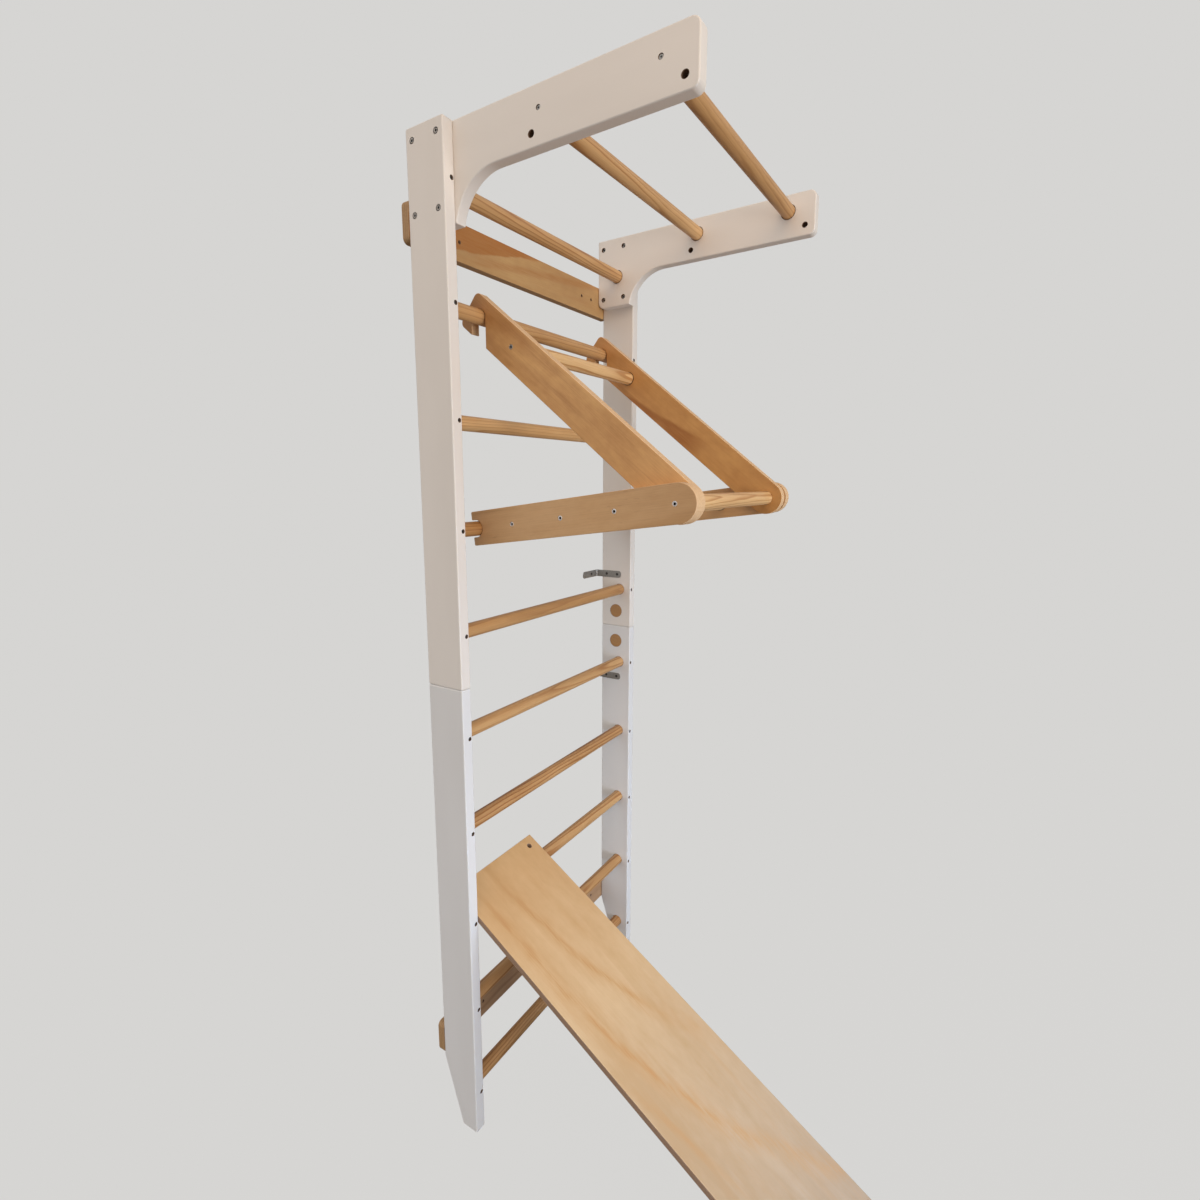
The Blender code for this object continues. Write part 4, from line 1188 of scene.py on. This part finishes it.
LOWER_SCREWS = [centre_of(f"triangle_{name}_rung")[1:]
                for name in ("pivot", "lower_1", "lower_2", "lower_3")]
TOP_SCREW = [centre_of("triangle_top_rung")[1:]]
ACROSS_THE_SHEET = {"left": (0.3, 1.43), "right": (2.3, 3.43)}     # diagonal, lower
plates = []
for side_name, (diagonal_across, lower_across) in ACROSS_THE_SHEET.items():
    plates.append(make_plate("diagonal", side_name, hooked_outline(), HOOK,
                             "triangle_diagonals", TOP_SCREW, diagonal_across))
    plates.append(make_plate("lower", side_name, forked_outline(), PROP,
                             "triangle_lower_frame", LOWER_SCREWS, lower_across))
print("plates", [made.name for made in plates])

# %% [markdown]
# ## The slide board
# A 15 mm plywood board leans on a rung with its foot on the floor, and a cleat under it catches
# the rung from behind. It could be made flat and then turned, but a finished piece lies unturned
# at the origin, so that its pattern stays put. Its own three directions do the turning: down the
# slope, across the ladder, and out of its face.

# %% Sizes and directions of the board
BOARD_SLOPE = math.radians(31.5)
BOARD_THICK = 0.015
BOARD_EDGE = 0.0015
BOARD_CORNER = 0.002
BOARD_OVERHANG = 0.059
BOARD_HOLE_ROWS = [(-0.002, 0.007), (0.0, 0.007), (0.0008, 0.006), (BOARD_THICK - 0.0008, 0.006),
                   (BOARD_THICK, 0.007), (BOARD_THICK + 0.002, 0.007)]
BOARD_HOLE_IN = (0.0245, 0.029)
CLEAT_WIDTH = 0.036
CLEAT_THICK = 0.024
REST = rung_places["rung_08"]
UNDER = RUNG_RADIUS + TOUCH     # from the rung's axis to the board's underside
down_slope = np.array((0, -math.cos(BOARD_SLOPE), -math.sin(BOARD_SLOPE)))
face_out = np.array((0, -math.sin(BOARD_SLOPE), math.cos(BOARD_SLOPE)))
board_axes = (down_slope, (1, 0, 0), face_out)
on_rung = (0, REST[1], REST[2])
foot = (REST[2] + UNDER * math.cos(BOARD_SLOPE)) / math.sin(BOARD_SLOPE)
low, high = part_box("slide_board")
board_sides = (low.x, high.x)
print("the board's foot is", round(foot, 4), "metres down the slope")


# %% Slide board
def block(first, last, sides, corner):
    """Outline of a straight board: down the slope, then across."""
    return rounded(four_corners((first, sides[0]), (last, sides[1]), corner))


outline = block(-BOARD_OVERHANG, foot, board_sides, BOARD_CORNER)
board = piece("slide_board_ply", [plank(outline, board_axes, UNDER, UNDER + BOARD_THICK,
                                        BOARD_EDGE, on_rung)], board_face, board_edge)
holes = []
for x in (board_sides[0] + BOARD_HOLE_IN[1], board_sides[1] - BOARD_HOLE_IN[1]):
    place = (np.array(on_rung) + down_slope * (BOARD_HOLE_IN[0] - BOARD_OVERHANG)
             + face_out * UNDER + np.array((x, 0, 0)))
    holes.append(lathe(BOARD_HOLE_ROWS, place, face_out, 32))
edges_by_normal(board, face_out)
cut(board, holes)
grained(board, down_slope, (1, 0, 0), (-(down_slope @ on_rung), 0.5, 0.0))
settled(board, "slide_board", "plywood", "slide_board")
print("board", board.name, "with", len(holes), "holes")

# %% Cleat
low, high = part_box("board_cleat")
outline = block(-UNDER - CLEAT_WIDTH, -UNDER, (low.x, high.x), BOARD_CORNER)
cleat = piece("board_cleat_ply", [plank(outline, board_axes, UNDER - TOUCH - CLEAT_THICK,
                                        UNDER - TOUCH, BOARD_EDGE, on_rung)],
              board_face, board_edge)
edges_by_normal(cleat, down_slope)
grained(cleat, (1, 0, 0), down_slope, (5.0, 0.1, 0.0))
settled(cleat, "slide_board", "plywood", "board_cleat")
print("cleat", cleat.name)

# %% [markdown]
# ## Joint plugs
# Round wooden plugs close the pockets in which the uprights' bolts are tightened. Each is a disc
# with an eased rim, just flush with the paint, and its face shows rings about its middle. Rings
# could be grooves in the mesh, but they are colour alone on the real plugs, so the finish draws
# them.

# %% Plugs
PLUG_THICK = 0.004
PLUG_EASE = 0.0005


def make_plug(node):
    """A disc about its node's middle, which is where its grain places start."""
    place = centre_of(node)
    half, rim = PLUG_THICK / 2, PLUG_RADIUS - PLUG_EASE
    rows = [(-half, rim), (-half + PLUG_EASE, PLUG_RADIUS), (half - PLUG_EASE, PLUG_RADIUS),
            (half, rim)]
    made = piece(f"{node}_ply", [lathe(rows, place)], plug_face)
    grained(made, (0, 1, 0), (0, 0, 1), (-place[1], -place[2], 0.0))
    return settled(made, "ladder", "plywood", node)


plugs = [make_plug(f"{side_name}_joint_plug_{section}") for side_name in SIDES
         for section in LEVELS]
print("plugs", [made.name for made in plugs])

# %% [markdown]
# ## Angle brackets
# Each bracket is a flat steel strip bent through a right angle, with rounded ends and three
# countersunk holes. A flat strip could be bent with a modifier, but the bend's radius would be
# hard to hold. So a small rectangle with eased corners is carried along the bend, and it narrows
# near the ends as a circle would.

# %% Path of a bracket's strip
STRIP_THICK = 0.002
STRIP_WIDTH = 0.0205
BEND = 0.003              # from the bend's centre to the strip's middle
END_ROUND = 0.008
STRIP_EASE = 0.0003
BRACKET_SCREW = 0.0026
SIDE_HOLES = (0.037, 0.0735)
WALL_HOLE = 0.035
HOLE_DEPTH = 0.004


def strip_path(side, reach_in, reach_out):
    """Middle line of the strip, its direction and its normal: straight from the wall leg's end,
    a quarter circle, then straight along the upright."""
    half = STRIP_THICK / 2
    corner = np.array((side * (INNER - TOUCH - half), -half))
    wall = np.array((-side, 0.0))
    out = np.array((0.0, -1.0))
    near_end = np.concatenate([np.linspace(0, END_ROUND, 9), [reach_in - half - BEND]])
    first = corner + wall * (reach_in - half - near_end)[:, None]
    turn = np.linspace(0, math.pi / 2, 9)[1:-1]
    centre = corner + (wall + out) * BEND
    bend = centre - wall * BEND * np.sin(turn)[:, None] - out * BEND * np.cos(turn)[:, None]
    far_end = np.concatenate([[BEND], np.linspace(reach_out - half - END_ROUND,
                                                  reach_out - half, 9)])
    last = corner + out * far_end[:, None]
    path = np.concatenate([first, bend, last])
    heading = np.concatenate([np.tile(-wall, (len(first), 1)),
                              -wall * np.cos(turn)[:, None] + out * np.sin(turn)[:, None],
                              np.tile(out, (len(last), 1))])
    ends = np.minimum(np.concatenate([near_end, np.full(len(turn) + len(last), 1.0)]),
                      np.concatenate([np.full(len(first) + len(turn), 1.0),
                                      reach_out - half - far_end]))
    missing = np.clip(END_ROUND - ends, 0, END_ROUND)
    width = STRIP_WIDTH / 2 - END_ROUND + np.sqrt(END_ROUND ** 2 - missing ** 2)
    return path, heading, width


print("the path of a strip has", len(strip_path(1, 0.05, 0.1)[0]), "stations")


# %% Brackets
def bracket_holes(side, z):
    """Point and outward direction of two holes towards the upright and one towards the wall."""
    inside = side * (INNER - TOUCH - STRIP_THICK)
    return ([((inside, -reach, z), (-side, 0, 0)) for reach in SIDE_HOLES]
            + [((side * (INNER - WALL_HOLE), -STRIP_THICK, z), (0, -1, 0))])


def make_bracket(side_name, level):
    """The strip's section is eight points, two at each corner: a point is its corner, drawn in
    by the ease either across the strip or through it."""
    side = SIDES[side_name]
    node = f"{side_name}_bracket_{level}"
    low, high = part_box(node)
    path, heading, width = strip_path(side, high.x - low.x, high.y - low.y)
    normal = np.stack([-heading[:, 1], heading[:, 0]], 1)
    half, ease = STRIP_THICK / 2, STRIP_EASE
    signs = np.repeat(np.array([(-1, 1), (1, 1), (1, -1), (-1, -1)]), 2, 0)
    eased = np.array([(0, 1), (1, 0), (1, 0), (0, 1)] * 2)
    middle = (low.z + high.z) / 2
    z = middle + signs[:, 0] * (width[:, None] - ease * eased[:, 0])
    thick = signs[:, 1] * (half - ease * eased[:, 1])
    flat = path[:, None, :] + normal[:, None, :] * thick[None, :, None]
    rings = np.concatenate([flat, z[..., None]], -1)
    made = piece(f"{node}_bent", [skin(rings)], zinc, dark_steel)
    cut(made, [countersunk(place, outwards, HOLE_DEPTH, BRACKET_SCREW)
               for place, outwards in bracket_holes(side, middle)])
    return settled(made, "ladder", "zinc_steel", node)


brackets = [make_bracket(side_name, level) for side_name in SIDES for level in LEVELS]
print("brackets", [made.name for made in brackets])

# %% [markdown]
# ## Bolts and screws
# The heads are round, and each has a recess for a key or a driver. A recess could be cut with a
# Boolean, but dozens of them would be slow. A lathe profile does it, because the rings inside the
# rim follow the edge of a hexagon or a plus sign instead of a circle. One head is worked out once
# and set at every place, so all the heads of a kind on one body are a single piece.

# %% Shapes of the recesses
def six_sided(angle):
    """Edge of a hexagon of half width 1: one over the cosine of the angle from a flat."""
    return 1 / np.cos((angle + math.pi / 6) % (math.pi / 3) - math.pi / 6)


def crossed(angle):
    """Edge of a plus sign with arms of length 1: the farther of two crossed bars' edges."""
    wide, high = np.abs(np.cos(angle)), np.abs(np.sin(angle))
    bar = 0.28      # half a bar's width
    return np.maximum(np.minimum(1 / wide, bar / high), np.minimum(1 / high, bar / wide))


print("a hexagon's edge reaches out to", round(float(six_sided(ring_of(360)).max()), 3))


# %% Bolt and screw heads
def head_rows(radius, tall, recess, deep, shape):
    """Rows from the recess's floor, up over the rim, and down the side to the underside."""
    return [(-deep, recess * 0.92, shape), (-0.0003, recess, shape),
            (0.0, recess * 1.06, shape), (0.0, radius - 0.0005),
            (-0.0002, radius - 0.0001), (-0.0006, radius), (-tall, radius)]


def shade_recess(made, places, radius):
    """Second finish on every face that lies within a radius of the nearest of some axes.
    A face's distance from an axis is what is left of its offset without the part along it."""
    polygons = made.data.polygons
    middles = np.empty(len(polygons) * 3)
    polygons.foreach_get("center", middles)
    points, ways = (np.array(part, float) for part in zip(*places))
    offset = middles.reshape(-1, 1, 3) - points
    lengthwise = np.sum(offset * ways, -1, keepdims=True) * ways
    away = np.linalg.norm(offset - lengthwise, axis=-1)
    is_recess = away.min(1) < radius
    polygons.foreach_set("material_index", is_recess.astype(int))


def make_heads(name, body, places, rows, finish, steps=36):
    """A head at each (point, outward direction), whose recess has the dark finish."""
    parts = [lathe(rows, place, outwards, steps) for place, outwards in places]
    made = piece(name, parts, finish, recess_shade)
    shade_recess(made, places, rows[0][1])
    return settled(made, body, "zinc_steel")


print("a head of 4 mm radius has", len(head_rows(0.004, 0.003, 0.002, 0.001, crossed)), "rows")

# %% Bolts that hold the arms
RECESS_REACH = 0.0022       # faces nearer than this to a bolt's axis are its recess
BOLT_ROWS = [(-0.0022, 0.0021, six_sided), (-0.0004, 0.0023, six_sided),
             (-0.0001, 0.0026, six_sided), (0.0, 0.0040), (0.0, 0.0060), (-0.0003, 0.0067),
             (-0.0008, BOLT_HEAD), (-BOLT_HEAD_DEPTH, BOLT_HEAD), (-BOLT_HEAD_DEPTH, 0.003),
             (-0.0370, 0.003)]
SLEEVE_ROWS = [(-0.0025, 0.0019, six_sided), (0.0, 0.0021, six_sided), (0.0, 0.0050),
               (-0.0004, SLEEVE), (-0.012, SLEEVE), (-0.012, 0.003), (-0.0140, 0.003)]


def make_arm_bolt(side, node, y, z):
    """A bolt's head on the upright's outer face, and its sleeve nut's on the arm's inner one."""
    inner = min(abs(corner.x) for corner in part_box(node))
    made = piece(f"{node}_turned", [lathe(BOLT_ROWS, (side * OUTER, y, z), (side, 0, 0), 36),
                                    lathe(SLEEVE_ROWS, (side * inner, y, z), (-side, 0, 0), 36)],
                 zinc, recess_shade)
    shade_recess(made, [((0, y, z), (1, 0, 0))], RECESS_REACH)
    return settled(made, "ladder", "zinc_steel", node)


bolts = [make_arm_bolt(side, f"{side_name}_arm_bolt_{number}", y, z)
         for side_name, side in SIDES.items() for number, (y, z) in enumerate(arm_bolts, start=1)]
print("bolts", len(bolts))

# %% Screws
LOCK_SINK = 0.0030
ARM_SINK = 0.0012
PLATE_SINK = 0.0005
LOCK_ROWS = head_rows(0.0039, 0.0025, 0.0022, 0.0015, crossed)
LOWER_ROWS = head_rows(PLATE_SCREW, 0.0028, 0.0027, 0.0025, six_sided)
TOP_ROWS = head_rows(PLATE_SCREW, 0.0028, 0.0021, 0.0022, six_sided)
BRACKET_ROWS = [(-0.0012, 0.0016, crossed), (0.0, 0.0020, crossed), (0.0, 0.0040),
                (-0.0014, 0.0025), (-0.0019, 0.0025)]


def outer_places(left, right, sink, spots):
    """Screws on the outer faces of a left and a right board, sunk a little."""
    faces = ((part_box(right)[1].x - sink, 1), (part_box(left)[0].x + sink, -1))
    return [((x, y, z), (side, 0, 0)) for x, side in faces for y, z in spots]


lock_places = [((side * LOCK_X, FRONT + LOCK_SINK, place[2]), (0, -1, 0))
               for side in SIDES.values() for place in rung_places.values()]
bracket_places = [place for side_name, side in SIDES.items() for level in LEVELS
                  for place in bracket_holes(side, centre_of(f"{side_name}_bracket_{level}")[2])]
make_heads("rung_lock_screws", "ladder", lock_places, LOCK_ROWS, dark_steel)
arm_places = outer_places("left_arm", "right_arm", ARM_SINK,
                          [centre_of(rung)[1:] for rung in ARM_RUNGS])
make_heads("arm_rung_screws", "ladder", arm_places, LOCK_ROWS, zinc)
lower_places = outer_places("triangle_lower_left", "triangle_lower_right", PLATE_SINK,
                            LOWER_SCREWS)
make_heads("lower_plate_screws", "triangle_lower_frame", lower_places, LOWER_ROWS, bright_zinc)
top_places = outer_places("triangle_diagonal_left", "triangle_diagonal_right", PLATE_SINK,
                          TOP_SCREW)
make_heads("diagonal_plate_screws", "triangle_diagonals", top_places, TOP_ROWS, zinc)
make_heads("bracket_screws", "ladder", bracket_places, BRACKET_ROWS, dark_steel)
print("screws", len(lock_places), "in the uprights,", len(bracket_places), "in the brackets")

# %% [markdown]
# ## The bolts behind the plugs
# The bolts and nuts that join the upright sections can't be seen, so the packed model's own
# solids stay, and only their finish changes. Nothing has to be built for them.

# %% Hidden bolts and nuts
for side_name in SIDES:
    for kind in ("bolt", "nut"):
        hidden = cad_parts[f"{side_name}_joint_{kind}"]
        hidden.data.materials.clear()
        hidden.data.materials.append(zinc)
        print("zinc on", hidden.name)
